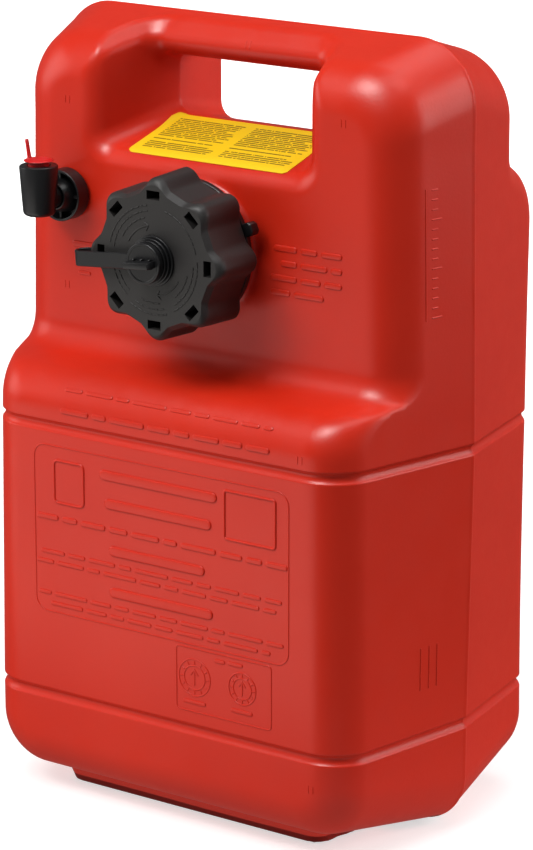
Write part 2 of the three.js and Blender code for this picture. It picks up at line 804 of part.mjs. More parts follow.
function makeCapGasket() {
  const from = (neckLength + discStart - gasketThickness) / 2;
  return toSolid(tube(neckBore - 2 * clearance, neckRadius + clearance, from, from + gasketThickness));
}
addPiece(filler, "cap_gasket", makeCapGasket(), sealBlack, 0.8);

// Strap: an eye under the vent screw's head, a loop to the left, and a foot in a slot in the left lobe.
function makeStrap() {
  const { eye, width, thickness, reach, bend, foot } = strap;
  const far = strapStart + thickness;
  const turn = -reach + bend;
  const end = -capTip + foot;
  const start = -ventSeal.radius - thickness;
  const outline = new THREE.Shape();
  outline.moveTo(start, strapStart);
  outline.lineTo(start, far);
  outline.lineTo(turn, far);
  outline.absarc(turn, far - bend, bend, Math.PI / 2, (3 * Math.PI) / 2);
  outline.lineTo(end, far - 2 * bend);
  outline.lineTo(end, far - 2 * bend + thickness);
  outline.lineTo(turn, far - 2 * bend + thickness);
  outline.absarc(turn, far - bend, bend - thickness, (3 * Math.PI) / 2, Math.PI / 2, true);
  const band = fromShape(outline, width).rotateX(Math.PI / 2).translate(0, width / 2, 0);
  const hole = tube(0, ventSeal.radius + clearance, strapStart - thickness, far + thickness, rodSides);
  return toGeometry(cut(join(band, tube(0, eye, strapStart, far)), hole)).rotateZ(ventAngle);
}
addPiece(filler, "vent_strap", makeStrap(), capGrey, 0.5);

const headStart = strapStart + ventSeal.thickness + seatGap;
const ventSealGeometry = tube(ventBore, ventSeal.radius, strapStart, headStart - seatGap, rodSides);
addPiece(filler, "vent_seal", toSolid(ventSealGeometry), sealBlack, 0.8);

// Vent screw, turned by its wing.
function makeVentScrew() {
  const { radius, thickness, edge } = screwHead;
  const far = headStart + thickness;
  const stem = ventBore - clearance;
  const head = lathe([
    [0, headStart],
    [radius - edge, headStart],
    [radius, headStart + edge],
    [radius, far - edge],
    [radius - edge, far],
    [0, far],
  ]);
  const grip = block(wing.length, wing.thickness, wing.height + edge, 0, 0, far + (wing.height - edge) / 2);
  return join(head, tube(0, stem, headStart - screwStem, far - edge, boreSides), grip.rotateZ(ventAngle));
}
addPiece(filler, "vent_screw", makeVentScrew(), capGrey, 0.45);

// Fuel outlet, as a stack on its own axis: seal, elbow and the nut that holds the elbow on.
const outletSealStart = spout.length + seatGap;
const elbowStart = outletSealStart + sealThickness + seatGap;
const outletSeal = tube(tail.radius + clearance, spout.radius, outletSealStart, elbowStart - seatGap, rodSides);
addPiece(outletFrame, "outlet_gasket", toSolid(outletSeal), sealBlack, 0.8);

const chamferShare = 0.3;

function makeElbow() {
  const { station, shift, top, bottom, rise, drop, rounding } = barrel;
  const upright = [
    [0, -drop],
    [bottom - rounding, -drop],
    [bottom - chamferShare * rounding, -drop + chamferShare * rounding],
    [bottom, -drop + rounding],
    [top, rise - seatGap],
    [top - seatGap, rise],
    [0, rise],
  ].map(([radius, height]) => new THREE.Vector2(radius, height));
  const rod = (radius, from, to) =>
    new THREE.CylinderGeometry(radius, radius, to - from, boreSides).translate(shift, (to + from) / 2, station);
  return cut(
    join(
      new THREE.LatheGeometry(upright, roundSides).translate(shift, 0, station),
      tube(0, elbowTube, elbowStart, station, rodSides),
      tube(0, spout.radius, elbowStart, elbowStart + elbowFlange, rodSides),
      tube(0, tail.radius, -tail.length, elbowStart + elbowFlange, rodSides),
    ),
    rod(socket.radius, rise - socket.depth, rise + overrun),
    rod(passage, 0, rise),
    tube(0, passage, -tail.length - overrun, station + shift, boreSides),
  );
}
addPiece(outletFrame, "outlet_elbow", makeElbow(), fittingBlack, 0.4);

function makeNut() {
  const { radius, start, rimEnd, rimWall, web, hubWall, hubEnd } = nut;
  const seat = elbowStart + elbowFlange + seatGap;
  const inner = spout.radius + clearance;
  const hub = inner + hubWall;
  const bore = elbowTube + clearance;
  const webEnd = start + web;
  const profile = [
    [inner, start],
    [radius, start],
    [radius, rimEnd],
    [radius - rimWall, rimEnd],
    [radius - rimWall, webEnd],
    [hub, webEnd],
    [hub - hubWall / 4, seat],
    [bore + hubWall / 2, hubEnd],
    [bore, hubEnd],
    [bore, seat],
    [inner, seat],
    [inner, start],
  ];
  const rib = new THREE.Shape();
  rib.moveTo(hub - hubWall / 2, start + web / 2);
  rib.lineTo(radius - rimWall / 2, start + web / 2);
  rib.lineTo(radius - rimWall / 2, rimEnd - rimWall);
  rib.lineTo(hub - hubWall / 2, seat);
  const ribs = round(nutRibs).map((angle) =>
    fromShape(rib, nutRibThickness)
      .rotateX(Math.PI / 2)
      .translate(0, nutRibThickness / 2, 0)
      .rotateZ(angle),
  );
  return join(lathe(profile, roundSides), ...ribs);
}
addPiece(outletFrame, "outlet_nut", makeNut(), fittingBlack, 0.4);

// Shipping plug, pulled out by its tab.
function makePlug() {
  const { disc, thickness, stand, stem } = plug;
  const edge = thickness / 3;
  const radius = socket.radius - clearance;
  const profile = [
    [0, -stem],
    [radius - edge, -stem],
    [radius, -stem + edge],
    [radius, stand],
    [disc - edge, stand],
    [disc, stand + thickness / 2],
    [disc - edge, stand + thickness],
    [0, stand + thickness],
  ].map(([r, height]) => new THREE.Vector2(r, height));
  const tab = block(pullTab.thickness, pullTab.height + edge, pullTab.width, 0, (pullTab.height - edge) / 2, 0);
  tab.rotateZ(THREE.MathUtils.degToRad(pullTab.lean)).translate(pullTab.inset - disc, stand + thickness, 0);
  const solid = join(new THREE.LatheGeometry(profile, roundSides), tab);
  return toGeometry(solid).translate(barrel.shift, barrel.rise, barrel.station);
}
addPiece(outletFrame, "shipping_plug", makePlug(), 0xd0262a, 0.45);

// Pick-up hose, from the elbow's tail down to the strainer.
function makeHose() {
  const start = -upperFrontDepth + tail.length - hose.overlap;
  const bendStart = start + hose.overlap + hose.overlap / 2;
  const down = bendStart + hose.bend;
  const path = new THREE.CurvePath();
  const at = (y, z) => new THREE.Vector3(outlet.x, y, z);
  path.add(new THREE.LineCurve3(at(start, outlet.z), at(bendStart, outlet.z)));
  path.add(new THREE.CubicBezierCurve3(...bendPoints(bendStart, down, at)));
  path.add(new THREE.LineCurve3(at(down, outlet.z - hose.bend), at(down, hose.end)));
  const ringShape = new THREE.Shape().absarc(0, 0, hose.radius, 0, 2 * Math.PI);
  ringShape.holes.push(new THREE.Path().absarc(0, 0, tail.radius + clearance, 0, 2 * Math.PI, true));
  const options = { steps: hoseSteps, extrudePath: path, curveSegments: hoseSides / 2 };
  const geometry = new THREE.ExtrudeGeometry(ringShape, options);
  return { solid: toSolid(geometry), y: down };
}

// Control points of a quarter turn from level to straight down.
function bendPoints(from, to, at) {
  const quarterShare = 0.5523;
  const arm = quarterShare * hose.bend;
  return [
    at(from, outlet.z),
    at(from + arm, outlet.z),
    at(to, outlet.z - hose.bend + arm),
    at(to, outlet.z - hose.bend),
  ];
}
const pickUp = makeHose();
addPiece(part, "pickup_hose", pickUp.solid, 0x222222, 0.7);

// Strainer: a spigot in the hose's end and a windowed cage, with a mesh sleeve inside.
const strainerFrame = new THREE.Group();
strainerFrame.position.set(outlet.x, pickUp.y, strainer.floor);
part.add(strainerFrame);
const cageTop = hose.end - seatGap - strainer.floor;
const sleeveOuter = strainer.radius - strainer.wall - clearance;

function makeCage() {
  const { radius, wall: thick, spigot, band, windows } = strainer;
  const gaps = round(windows, Math.PI / windows).map((angle) =>
    block(radius, radius, cageTop - 2 * band, radius, 0, cageTop / 2).rotateZ(angle),
  );
  return cut(
    join(tube(0, radius, 0, cageTop, rodSides), tube(0, tail.radius, cageTop - thick, cageTop + spigot, boreSides)),
    tube(0, radius - thick, thick, cageTop - thick, rodSides),
    tube(0, passage, thick, cageTop + 2 * spigot, boreSides),
    ...gaps,
  );
}
addPiece(strainerFrame, "strainer_cage", makeCage(), 0xe6e2d6, 0.6);

const sleeveFrom = strainer.wall + seatGap;
const sleeve = tube(sleeveOuter - meshWall, sleeveOuter, sleeveFrom, cageTop - sleeveFrom, rodSides);
addPiece(strainerFrame, "strainer_mesh", toSolid(sleeve), 0xb9b9b4, 0.5, 0.6);

export default part;
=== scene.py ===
import bpy
import numpy as np
from math import copysign, cos, degrees, pi, radians, sin, sqrt
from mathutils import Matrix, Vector


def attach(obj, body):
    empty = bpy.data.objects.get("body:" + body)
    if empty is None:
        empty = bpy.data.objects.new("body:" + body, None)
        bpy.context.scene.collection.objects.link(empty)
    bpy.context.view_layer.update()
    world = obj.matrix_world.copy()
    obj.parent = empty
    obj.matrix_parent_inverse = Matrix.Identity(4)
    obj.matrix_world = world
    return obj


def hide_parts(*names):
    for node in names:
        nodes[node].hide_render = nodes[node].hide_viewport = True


# Outboard fuel tank: red blow-moulded body, dark lobed cap with a tethered vent screw, and a black
# outlet elbow with a red shipping plug. Sizes are in millimetres unless a line says otherwise.
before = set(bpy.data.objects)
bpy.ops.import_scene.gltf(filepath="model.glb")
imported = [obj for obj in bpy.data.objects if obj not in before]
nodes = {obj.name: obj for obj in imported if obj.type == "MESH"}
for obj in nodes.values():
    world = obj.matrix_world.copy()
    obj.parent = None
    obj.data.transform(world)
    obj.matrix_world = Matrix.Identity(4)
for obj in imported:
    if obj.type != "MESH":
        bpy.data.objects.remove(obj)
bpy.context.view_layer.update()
mm = 0.001
print("frame loaded:", len(nodes), "nodes")


def newObject(name, data):
    item = bpy.data.objects.new(name, data)
    bpy.context.scene.collection.objects.link(item)
    return item


def aim(item, place, target):
    item.location = place
    item.rotation_euler = (Vector(target) - Vector(place)).to_track_quat("-Z", "Y").to_euler()


def newMesh(name, points, faces):
    mesh = bpy.data.meshes.new(name)
    mesh.from_pydata([tuple(p) for p in np.asarray(points) * mm], [], [tuple(f) for f in faces])
    return mesh


camera = {"place": (1049.6, -1467.1, 702.1), "target": (3.12, 0, 195.5), "lens": 152.5}


def addCamera():
    data = bpy.data.cameras.new("camera")
    data.lens = camera["lens"]
    data.clip_start, data.clip_end = 0.05, 30
    item = newObject("camera", data)
    aim(item, Vector(camera["place"]) * mm, Vector(camera["target"]) * mm)
    bpy.context.scene.camera = item


# Studio, in metres and watts: softboxes around and above, and cards that throw light up from the floor.
warm, cream, cool, white = (1, 0.98, 0.955), (1, 0.96, 0.9), (1, 0.99, 0.98), (1, 1, 1)
studio = {
    "floorColour": (0.55, 0.55, 0.55), "floorRough": 0.9, "floorGlow": 0.6, "floorHalf": 14,
    "worldStrength": 0.11, "spread": 180, "sweepSpread": 70,
    # name: (place, target, width, height, watts, colour, what it lights: all, only body or only gloss)
    "lights": {
        "key": ((-0.17, -1.23, 2.2), (0, 0, 0.25), 1.3, 1, 28, (1, 0.99, 0.975), "all"),
        "fillLeft": ((-2.12, -1, 0.9), (0, 0, 0.24), 1.6, 1.2, 13, warm, "all"),
        "frontHigh": ((-0.75, -1.35, 1.75), (0, 0, 0.25), 0.9, 0.7, 20, warm, "body"),
        "sideRight": ((2.2, 0.95, 1), (0.05, 0, 0.2), 0.9, 1.7, 17, cool, "all"),
        "sideRightSoft": ((1.9, 1.45, 1), (0.05, 0, 0.2), 0.9, 1.7, 29, cool, "body"),
        "overhead": ((0.6, 0, 1.95), (0, 0, 0.25), 0.9, 0.9, 6.5, white, "all"),
        "rearFill": ((0.6, 2.3, 0.45), (0, 0, 0.24), 1.7, 0.84, 15, cool, "body"),
        "floorSweep": ((-1.5, 2.15, 2.1), (-1.5, 2.15, 0), 4.2, 3, 64, white, "all"),
        "frontCard": ((-0.43, -0.72, 0.004), (-0.43, -0.72, 1), 0.95, 0.97, 3.2, cream, "all"),
        "frontCardSoft": ((-0.43, -0.72, 0.004), (-0.43, -0.72, 1), 0.95, 0.97, 3.2, cream, "body"),
        "footGlow": ((0.02, -0.06, 0.004), (0.02, -0.06, 1), 0.36, 0.3, 0.26, cream, "body"),
        "keyGlint": ((-0.1, -1.2, 2.15), (0, 0, 0.25), 0.6, 0.5, 20, cool, "gloss"),
        "rightGlint": ((1.5, 1.05, 1.6), (0, 0, 0.25), 0.55, 0.5, 5, cool, "gloss"),
    },
}


def addLights():
    for name, (place, target, width, height, watts, colour, part) in studio["lights"].items():
        data = bpy.data.lights.new(name, "AREA")
        data.shape = "RECTANGLE"
        data.size, data.size_y = width, height
        data.energy = watts
        data.spread = radians(studio["sweepSpread" if name == "floorSweep" else "spread"])
        data.color = colour
        item = newObject(name, data)
        aim(item, place, target)
        item.visible_camera = False
        item.visible_glossy = part != "body"
        item.visible_diffuse = part != "gloss"
    world = bpy.data.worlds.new("studio")
    world.use_nodes = True
    setInputs(world.node_tree, world.node_tree.nodes["Background"],
              {"Color": (1, 1, 1, 1), "Strength": studio["worldStrength"]})
    bpy.context.scene.world = world
    bpy.context.scene.view_settings.view_transform = "Standard"


# Pale paper, which is seen but throws no light back on the tank.
def addFloor():
    half = studio["floorHalf"] / mm
    corners = [(-half, -half, 0), (half, -half, 0), (half, half, 0), (-half, half, 0)]
    floor = newObject("floor", newMesh("floor", corners, [(0, 1, 2, 3)]))
    finish = bpy.data.materials.new("palePaper")
    finish.use_nodes = True
    setInputs(finish.node_tree, finish.node_tree.nodes["Principled BSDF"], {
        "Base Color": (*studio["floorColour"], 1), "Roughness": studio["floorRough"],
        "Emission Color": (1, 1, 1, 1), "Emission Strength": studio["floorGlow"]})
    floor.data.materials.append(finish)
    floor.visible_diffuse = False
    floor.visible_glossy = False


# Look of each slot: sRGB base and darker tint, roughness, size of the moulded grain, depth of its bump.
# Some have more: gloss, metal, or how much light goes into the plastic (deep) and in which colour.
looks = {
    "tank_plastic": ((205, 41, 19), (199, 37, 17), 0.345, 1.6, 0.05,
                     {"gloss": 0.43, "deep": 0.1, "deepColour": (1, 0.2, 0.12)}),
    "sticker": ((240, 203, 24), (234, 193, 20), 0.42, 3, 0.01, {}),
    "cap_plastic": ((39, 38, 37), (34, 32, 32), 0.5, 0.6, 0.04, {}),
    "core_plastic": ((44, 43, 44), (36, 35, 36), 0.55, 0.7, 0.04, {}),
    "fitting_plastic": ((24, 24, 26), (17, 17, 19), 0.34, 0.8, 0.02, {}),
    "seal_rubber": ((16, 16, 16), (12, 12, 12), 0.75, 0.5, 0.05, {}),
    "plug_plastic": ((206, 30, 32), (188, 22, 26), 0.33, 1, 0.02,
                     {"deep": 0.15, "deepColour": (1, 0.2, 0.12)}),
    "hose_rubber": ((30, 30, 31), (22, 22, 23), 0.62, 0.6, 0.06, {}),
    "cage_plastic": ((228, 223, 209), (214, 208, 192), 0.45, 0.8, 0.02,
                     {"deep": 0.1, "deepColour": (1, 0.9, 0.7)}),
    "mesh_steel": ((176, 176, 172), (150, 150, 147), 0.32, 0.5, 0.05, {"metal": 1}),
}
# Shared by all looks: size of the drifts of colour and of the patches of gloss, how far gloss goes either
# way, and how deep light goes in.
surface = {"drift": 90, "patch": 12, "duller": 0.045, "glossier": 0.035, "ior": 1.5, "depth": 2.5}


# sRGB colour from 0 to 255 as a linear one, with full opacity.
def linear(colour):
    return tuple(((c / 255 + 0.055) / 1.055) ** 2.4 if c > 10 else c / 255 / 12.92 for c in colour) + (1,)


# Each input is given a value, or linked to another node's output.
def setInputs(tree, node, values):
    for key, value in values.items():
        if isinstance(value, bpy.types.NodeSocket):
            tree.links.new(value, node.inputs[key])
        else:
            node.inputs[key].default_value = value


def addNode(tree, kind, values=None, **settings):
    node = tree.nodes.new(kind)
    for key, value in settings.items():
        setattr(node, key, value)
    setInputs(tree, node, values or {})
    return node


def noiseNode(tree, where, size, detail=3, rough=0.5):
    values = {"Vector": where, "Scale": 1 / (size * mm), "Detail": detail, "Roughness": rough}
    return addNode(tree, "ShaderNodeTexNoise", values).outputs["Fac"]


def mapRange(tree, value, low, high, fromLow=0.3, fromHigh=0.7):
    values = {"Value": value, "From Min": fromLow, "From Max": fromHigh, "To Min": low, "To Max": high}
    return addNode(tree, "ShaderNodeMapRange", values).outputs["Result"]


def mixColour(tree, share, a, b):
    return addNode(tree, "ShaderNodeMix", {6: a, 7: b, 0: share}, data_type="RGBA").outputs[2]


# Moulded plastic or rubber: slow drifts of colour and gloss, and a fine grain in the surface.
def makeMaterial(slot):
    base, tint, rough, grain, depth, more = looks[slot]
    material = bpy.data.materials.new(slot)
    material.use_nodes = True
    tree = material.node_tree
    where = addNode(tree, "ShaderNodeTexCoord").outputs["Object"]
    drift = mapRange(tree, noiseNode(tree, where, surface["drift"], 2), 0, 1)
    patches = noiseNode(tree, where, surface["patch"], 4, 0.6)
    bump = addNode(tree, "ShaderNodeBump", {"Strength": 1, "Distance": depth * mm,
                                            "Height": noiseNode(tree, where, grain, 2)})
    values = {
        "Base Color": mixColour(tree, drift, linear(base), linear(tint)),
        "Roughness": mapRange(tree, patches, rough - surface["glossier"], rough + surface["duller"]),
        "Metallic": more.get("metal", 0), "IOR": surface["ior"],
        "Specular IOR Level": more.get("gloss", 0.5), "Normal": bump.outputs["Normal"],
    }
    if "deep" in more:
        values |= {"Subsurface Weight": more["deep"], "Subsurface Radius": more["deepColour"],
                   "Subsurface Scale": surface["depth"] * mm}
    setInputs(tree, tree.nodes["Principled BSDF"], values)
    return material


addCamera()
addLights()
addFloor()
print("camera, lights and floor made")
materials = {slot: makeMaterial(slot) for slot in looks}
print("materials made:", len(materials))


# Piece of the tank: its mesh, the body that it rides on, its slot and the solid that it stands for.
def addMesh(name, points, faces, body, slot, solid=None):
    item = newObject(name, newMesh(name, points, faces))
    item.data.validate()
    item.data.shade_smooth()
    item.data.materials.append(materials[slot])
    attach(item, body)
    if solid:
        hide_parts(solid)
    return item


# The tank's body is a field: the distance in from its skin, positive inside and negative outside.
tank = {
    "height": 408, "halfWidth": 128, "bulge": 2.4, "wall": 3.5,
    "topCorner": 33, "bottomCorner": 28,
    "front": 89.2, "upperFront": 50.4, "rear": 84, "rearHollow": 4.5, "upperRear": 54.6,
    # front half, then rear half; the sides' drafts at the low groove, the waist and the recess's floor
    "sideDrafts": ((0.184, 0.243, 0.26), (0.156, 0.178, 0.156)),
    "topDrafts": (0.26, 0.27), "bottomDrafts": (0.15, 0.166), "rims": (19.5, 14.5),
    "shoulderTop": 228.6, "shoulderSlope": 0.224, "shoulderEdge": 16.5, "shoulderHollow": 11,
    "squareness": 0.88,
    "rearShoulderTop": 338.5, "rearShoulderEdge": 34, "rearShoulderHollow": 5,
    "grooves": (58.5, 204), "grooveWidth": 4.8, "grooveDepth": 1.8, "grooveSkew": 0.72, "groovePower": 0.85,
    "ridgeLift": 0.8, "seamHeight": 0.35, "seamWidth": 0.6,
}
recess = {
    # pairs are for the front half, then the rear half
    "halfWidth": 49, "shift": -2.6, "drafts": (0.35, 0.22), "floor": 354.2, "slopes": (0.267, 0.22),
    "fillet": 9, "lips": (8, 4),
    "bevel": 7.5, "bevelRound": 2, "bevelFade": 16, "bevelThins": 0.6, "bevelOff": 20,
    "gripUnderside": 386.4, "gripFront": 15.6, "gripRear": 20.8, "gripEdge": 8.5, "gripBlend": 7,
}
foot = {"height": 14, "halfWidth": 91.5, "ends": (62.4, 58), "lean": 0.3, "corner": 7, "edge": 1.2,
        "blend": 3}
filler = {"height": 300, "bore": 22.5, "neck": 25, "neckEnd": 32.8, "boss": 32, "bossHeight": 7.4,
          "bossEdge": 1.4, "bossBlend": 3, "bossRoot": 10}


def roundedMin(a, b, radius):
    corner = radius - np.hypot(radius - a, radius - b)
    return np.where((a >= radius) | (b >= radius), np.minimum(a, b), corner)


def roundedMax(a, b, radius):
    return -roundedMin(-a, -b, radius)


# Closes in on the place where a test fails, from values that pass it and values that don't.
def closeIn(passes, inside, outside, halvings=40):
    for halving in range(halvings):
        middle = (inside + outside) / 2
        hit = passes(middle)
        inside, outside = np.where(hit, middle, inside), np.where(hit, outside, middle)
    return inside


def byHeight(z, values):
    low, waist = tank["grooves"]
    return np.interp(z, (low, waist, recess["floor"]), values)


# Lower face, sloping shoulder and set-back upper face.
def frontInset(depth, z):
    under = tank["shoulderTop"] - z + tank["shoulderSlope"] * (tank["front"] - depth)
    lower = roundedMin(tank["front"] - depth, under, tank["shoulderEdge"])
    return roundedMax(lower, tank["upperFront"] - depth, tank["shoulderHollow"])


def rearInset(depth, z):
    middle = tank["rearShoulderTop"] / 2
    share = np.minimum(1, np.abs(z - middle) / middle)
    wall = tank["rear"] - tank["rearHollow"] * (1 - share * share)
    lower = roundedMin(wall - depth, tank["rearShoulderTop"] - z, tank["rearShoulderEdge"])
    return roundedMax(lower, tank["upperRear"] - depth, tank["rearShoulderHollow"])


# Depth of the front face at each height, kept as a table.
heightTable = np.linspace(-20, tank["height"] + 20, 1800)
depthTable = closeIn(lambda depth: frontInset(depth, heightTable) > 0, np.zeros_like(heightTable),
                     np.full_like(heightTable, tank["height"]))


# Each groove is crisp along its upper edge and soft along its lower one.
def grooveAt(z):
    cut = np.zeros_like(z)
    for height in tank["grooves"]:
        off = (z - height) / (tank["grooveWidth"] / 2)
        off = np.where(off > 0, off, off * tank["grooveSkew"])
        cut = np.maximum(cut, tank["grooveDepth"] * np.clip(1 - off * off, 0, 1) ** tank["groovePower"])
    return cut


# One half of the closed body, in front of the parting plane (half 0) or behind it (half 1).
def halfInset(x, depth, z, half):
    side = byHeight(z, tank["sideDrafts"][half])
    halfWidth = byHeight(z, (tank["halfWidth"], tank["halfWidth"] + tank["bulge"], tank["halfWidth"]))
    across = halfWidth - side * depth - np.abs(x)
    roof = tank["height"] - tank["topDrafts"][half] * depth - z
    floor = z - tank["ridgeLift"] - tank["bottomDrafts"][half] * depth
    walls = np.where(roof < floor, roundedMin(across, roof, tank["topCorner"]),
                     roundedMin(across, floor, tank["bottomCorner"]))
    if half:
        face = rearInset(depth, z)
    else:
        square = tank["squareness"]
        straight = np.interp(z, heightTable, depthTable) - depth
        face = frontInset(depth, z) * (1 - square) + straight * square
    return roundedMin(walls, face, tank["rims"][half])


def closedInset(x, y, z):
    return np.where(y < 0, halfInset(x, -y, z, 0), halfInset(x, y, z, 1))


def recessInset(x, y, z, growth=0):
    far = np.abs(y)
    side = recess["halfWidth"] + far * np.where(y < 0, *recess["drafts"])
    floor = recess["floor"] - far * np.where(y < 0, *recess["slopes"])
    return roundedMin(side + growth - np.abs(x - recess["shift"]), z - floor + growth,
                      recess["fillet"] - growth)


def outerInset(x, y, z):
    seam = tank["seamHeight"] * np.exp(-(y / tank["seamWidth"]) ** 2)
    body = closedInset(x, y, z) - grooveAt(z) + seam
    grip = np.minimum(recess["gripFront"] + y, recess["gripRear"] - y)
    grip = roundedMin(grip, z - recess["gripUnderside"], recess["gripEdge"])
    kept = roundedMax(-recessInset(x, y, z), grip, recess["gripBlend"])
    # the pillars' upper inner edges are bevelled in front, the recess's other edges are round
    far = np.abs(y)
    roof = tank["height"] - tank["topDrafts"][0] * far - z
    near = np.clip(1 - roof / recess["bevelFade"], 0, 1) * (y < 0)
    frontLip, rearLip = recess["lips"]
    shape = roundedMin(body, kept, np.where(y < 0, frontLip * (1 - recess["bevelThins"] * near), rearLip))
    bevel = (roof + kept - recess["bevel"]) * sqrt(0.5) + recess["bevelOff"] * (y > 0)
    shape = roundedMin(shape, bevel, recess["bevelRound"])
    # foot
    lean = foot["lean"] * z
    side = foot["halfWidth"] + lean - far * np.where(y < 0, *(drafts[0] for drafts in tank["sideDrafts"]))
    ends = lean + np.where(y < 0, *foot["ends"]) - far
    pad = roundedMin(side - np.abs(x), ends, foot["corner"])
    pad = np.minimum(roundedMin(pad, z, foot["edge"]), foot["height"] - z)
    shape = roundedMax(shape, pad, foot["blend"])
    # boss under the filler neck
    around = filler["boss"] - np.hypot(x, z - filler["height"])
    stand = roundedMin(around, y + tank["upperFront"] + filler["bossHeight"], filler["bossEdge"])
    return roundedMax(shape, np.minimum(stand, -y - filler["bossRoot"]), filler["bossBlend"])


def innerInset(x, y, z):
    return np.minimum(closedInset(x, y, z) - tank["wall"], -recessInset(x, y, z, tank["wall"]))


# Grids over the fields: spacing, box, finer lines beside grooves and parting plane, and the steps that pull
# points on to the surface. Last, how near a field's surface a face counts as part of it, and how well the
# directions have to agree.
net = {
    "spacing": 2.6, "box": ((-136, 136), (-98, 92), (-6, 414)),
    "cavitySpacing": 7, "cavityBox": ((-136, 136), (-96, 92), (-4, 412)),
    "grooveLines": (-4.6, -3.4, -2.6, -1.8, -1, -0.2, 0.6, 1.4, 2.2, 2.9, 3.6, 4.8),
    "seamLines": (-2.6, -1.3, -0.45, 0.45, 1.3, 2.6),
    "pulls": 4, "leastSlope": 0.25,
    "nearSkin": 0.4, "nearCavity": 1.2, "agree": 0.3,
}


# Closed mesh over a field: one point in each mixed cell of a grid, moved on to the surface.
def surfaceNet(field, *lines):
    grid = np.meshgrid(*lines, indexing="ij")
    value = field(*grid)
    inside = value > 0
    cells = tuple(n - 1 for n in value.shape)
    total = np.zeros(cells + (3,))
    count = np.zeros(cells)
    crossings = []
    for axis in range(3):
        low = tuple(slice(0, -1) if a == axis else slice(None) for a in range(3))
        high = tuple(slice(1, None) if a == axis else slice(None) for a in range(3))
        cross = np.argwhere(inside[low] != inside[high])
        at = tuple(cross.T)
        first, second = value[low][at], value[high][at]
        points = np.stack([g[low][at] for g in grid], 1)
        points[:, axis] += first / (first - second) * (grid[axis][high][at] - grid[axis][low][at])
        # the four cells round each crossed grid line, in turn
        around = []
        for stepU, stepV in ((0, 0), (-1, 0), (-1, -1), (0, -1)):
            cell = cross.copy()
            cell[:, (axis + 1) % 3] += stepU
            cell[:, (axis + 2) % 3] += stepV
            around.append(tuple(cell.T))
            np.add.at(total, around[-1], points)
            np.add.at(count, around[-1], 1)
        crossings.append((around, inside[low][at]))
    number = np.full(cells, -1)
    used = count > 0
    number[used] = np.arange(used.sum())
    points = total[used] / count[used][:, None]
    for pull in range(net["pulls"]):
        slope, value = gradient(field, points)
        points = points - value[:, None] * slope / np.maximum(net["leastSlope"], (slope ** 2).sum(1))[:, None]
    faces = []
    for around, out in crossings:
        quads = np.stack([number[cell] for cell in around], 1)
        faces.append(np.where(out[:, None], quads, quads[:, ::-1]))
    return points, np.concatenate(faces)


def gradient(field, points, step=0.3):
    x, y, z = points.T
    slope = np.stack([
        field(x + step, y, z) - field(x - step, y, z),
        field(x, y + step, z) - field(x, y - step, z),
        field(x, y, z + step) - field(x, y, z - step),
    ], 1) / (2 * step)
    return slope, field(x, y, z)


def unit(vectors):
    return vectors / np.maximum(1e-9, np.linalg.norm(vectors, axis=1))[:, None]


def outward(points, step=0.3):
    return unit(-gradient(outerInset, points, step)[0])


# Grid lines at a plain spacing, with the lines near each given value replaced by its own.
def gridLines(low, high, spacing, fine=()):
    lines = list(np.arange(low, high + spacing, spacing))
    for middle, offsets in fine:
        most = max(abs(o) for o in offsets) + spacing * 0.6
        lines = [v for v in lines if abs(v - middle) > most] + [middle + o for o in offsets]
    return np.array(sorted(lines), float)


def makeTank():
    fine = (), [(0, net["seamLines"])], [(height, net["grooveLines"]) for height in tank["grooves"]]
    lines = [gridLines(*ends, net["spacing"], own) for ends, own in zip(net["box"], fine)]
    points, faces = surfaceNet(outerInset, *lines)
    print("tank skin:", len(points), "points")
    lines = [gridLines(*ends, net["cavitySpacing"]) for ends in net["cavityBox"]]
    innerPoints, innerFaces = surfaceNet(innerInset, *lines)
    faces = np.concatenate([faces, innerFaces[:, ::-1] + len(points)])
    points = np.concatenate([points, innerPoints])
    item = addMesh("tankSkin", points, faces, "tank", "tank_plastic", "tank_shell")
    for name, bore in (("filler", filler["bore"]), ("outlet", spout["bore"])):
        drill = revolve([(0, -20), (bore, -20), (bore, 20), (0, 20)], closed=False)
        cutItem(item, inFrame(name, drill), "MANIFOLD")
    shadeTank(item)


# Smooth shading straight from the fields, so that flats stay flat; the bores keep their own facets.
def shadeTank(item):
    mesh = item.data
    corners = [loop.vertex_index for loop in mesh.loops]
    points = np.array([v.co for v in mesh.vertices]) / mm
    middles = np.array([p.center for p in mesh.polygons]) / mm
    sizes = [p.loop_total for p in mesh.polygons]
    own = np.repeat(np.array([p.normal for p in mesh.polygons]), sizes, 0)
    onSkin = np.repeat(np.abs(outerInset(*middles.T)) < net["nearSkin"], sizes)[:, None]
    onCavity = np.repeat(np.abs(innerInset(*middles.T)) < net["nearCavity"], sizes)[:, None]
    inner = unit(gradient(innerInset, points)[0])
    normals = np.where(onSkin, outward(points)[corners], np.where(onCavity, inner[corners], own))
    agree = (normals * own).sum(1)[:, None]
    normals = np.where(agree > net["agree"], normals, own)
    mesh.normals_split_custom_set([tuple(n) for n in normals])


# Turned shapes start as an outline of (radius, station) pairs, whose corners get rounded. A corner takes
# up at most a set share of the lines beside it, and a point just past each end keeps flats flat.
softness = {"mostShare": 0.42, "past": 1.12}


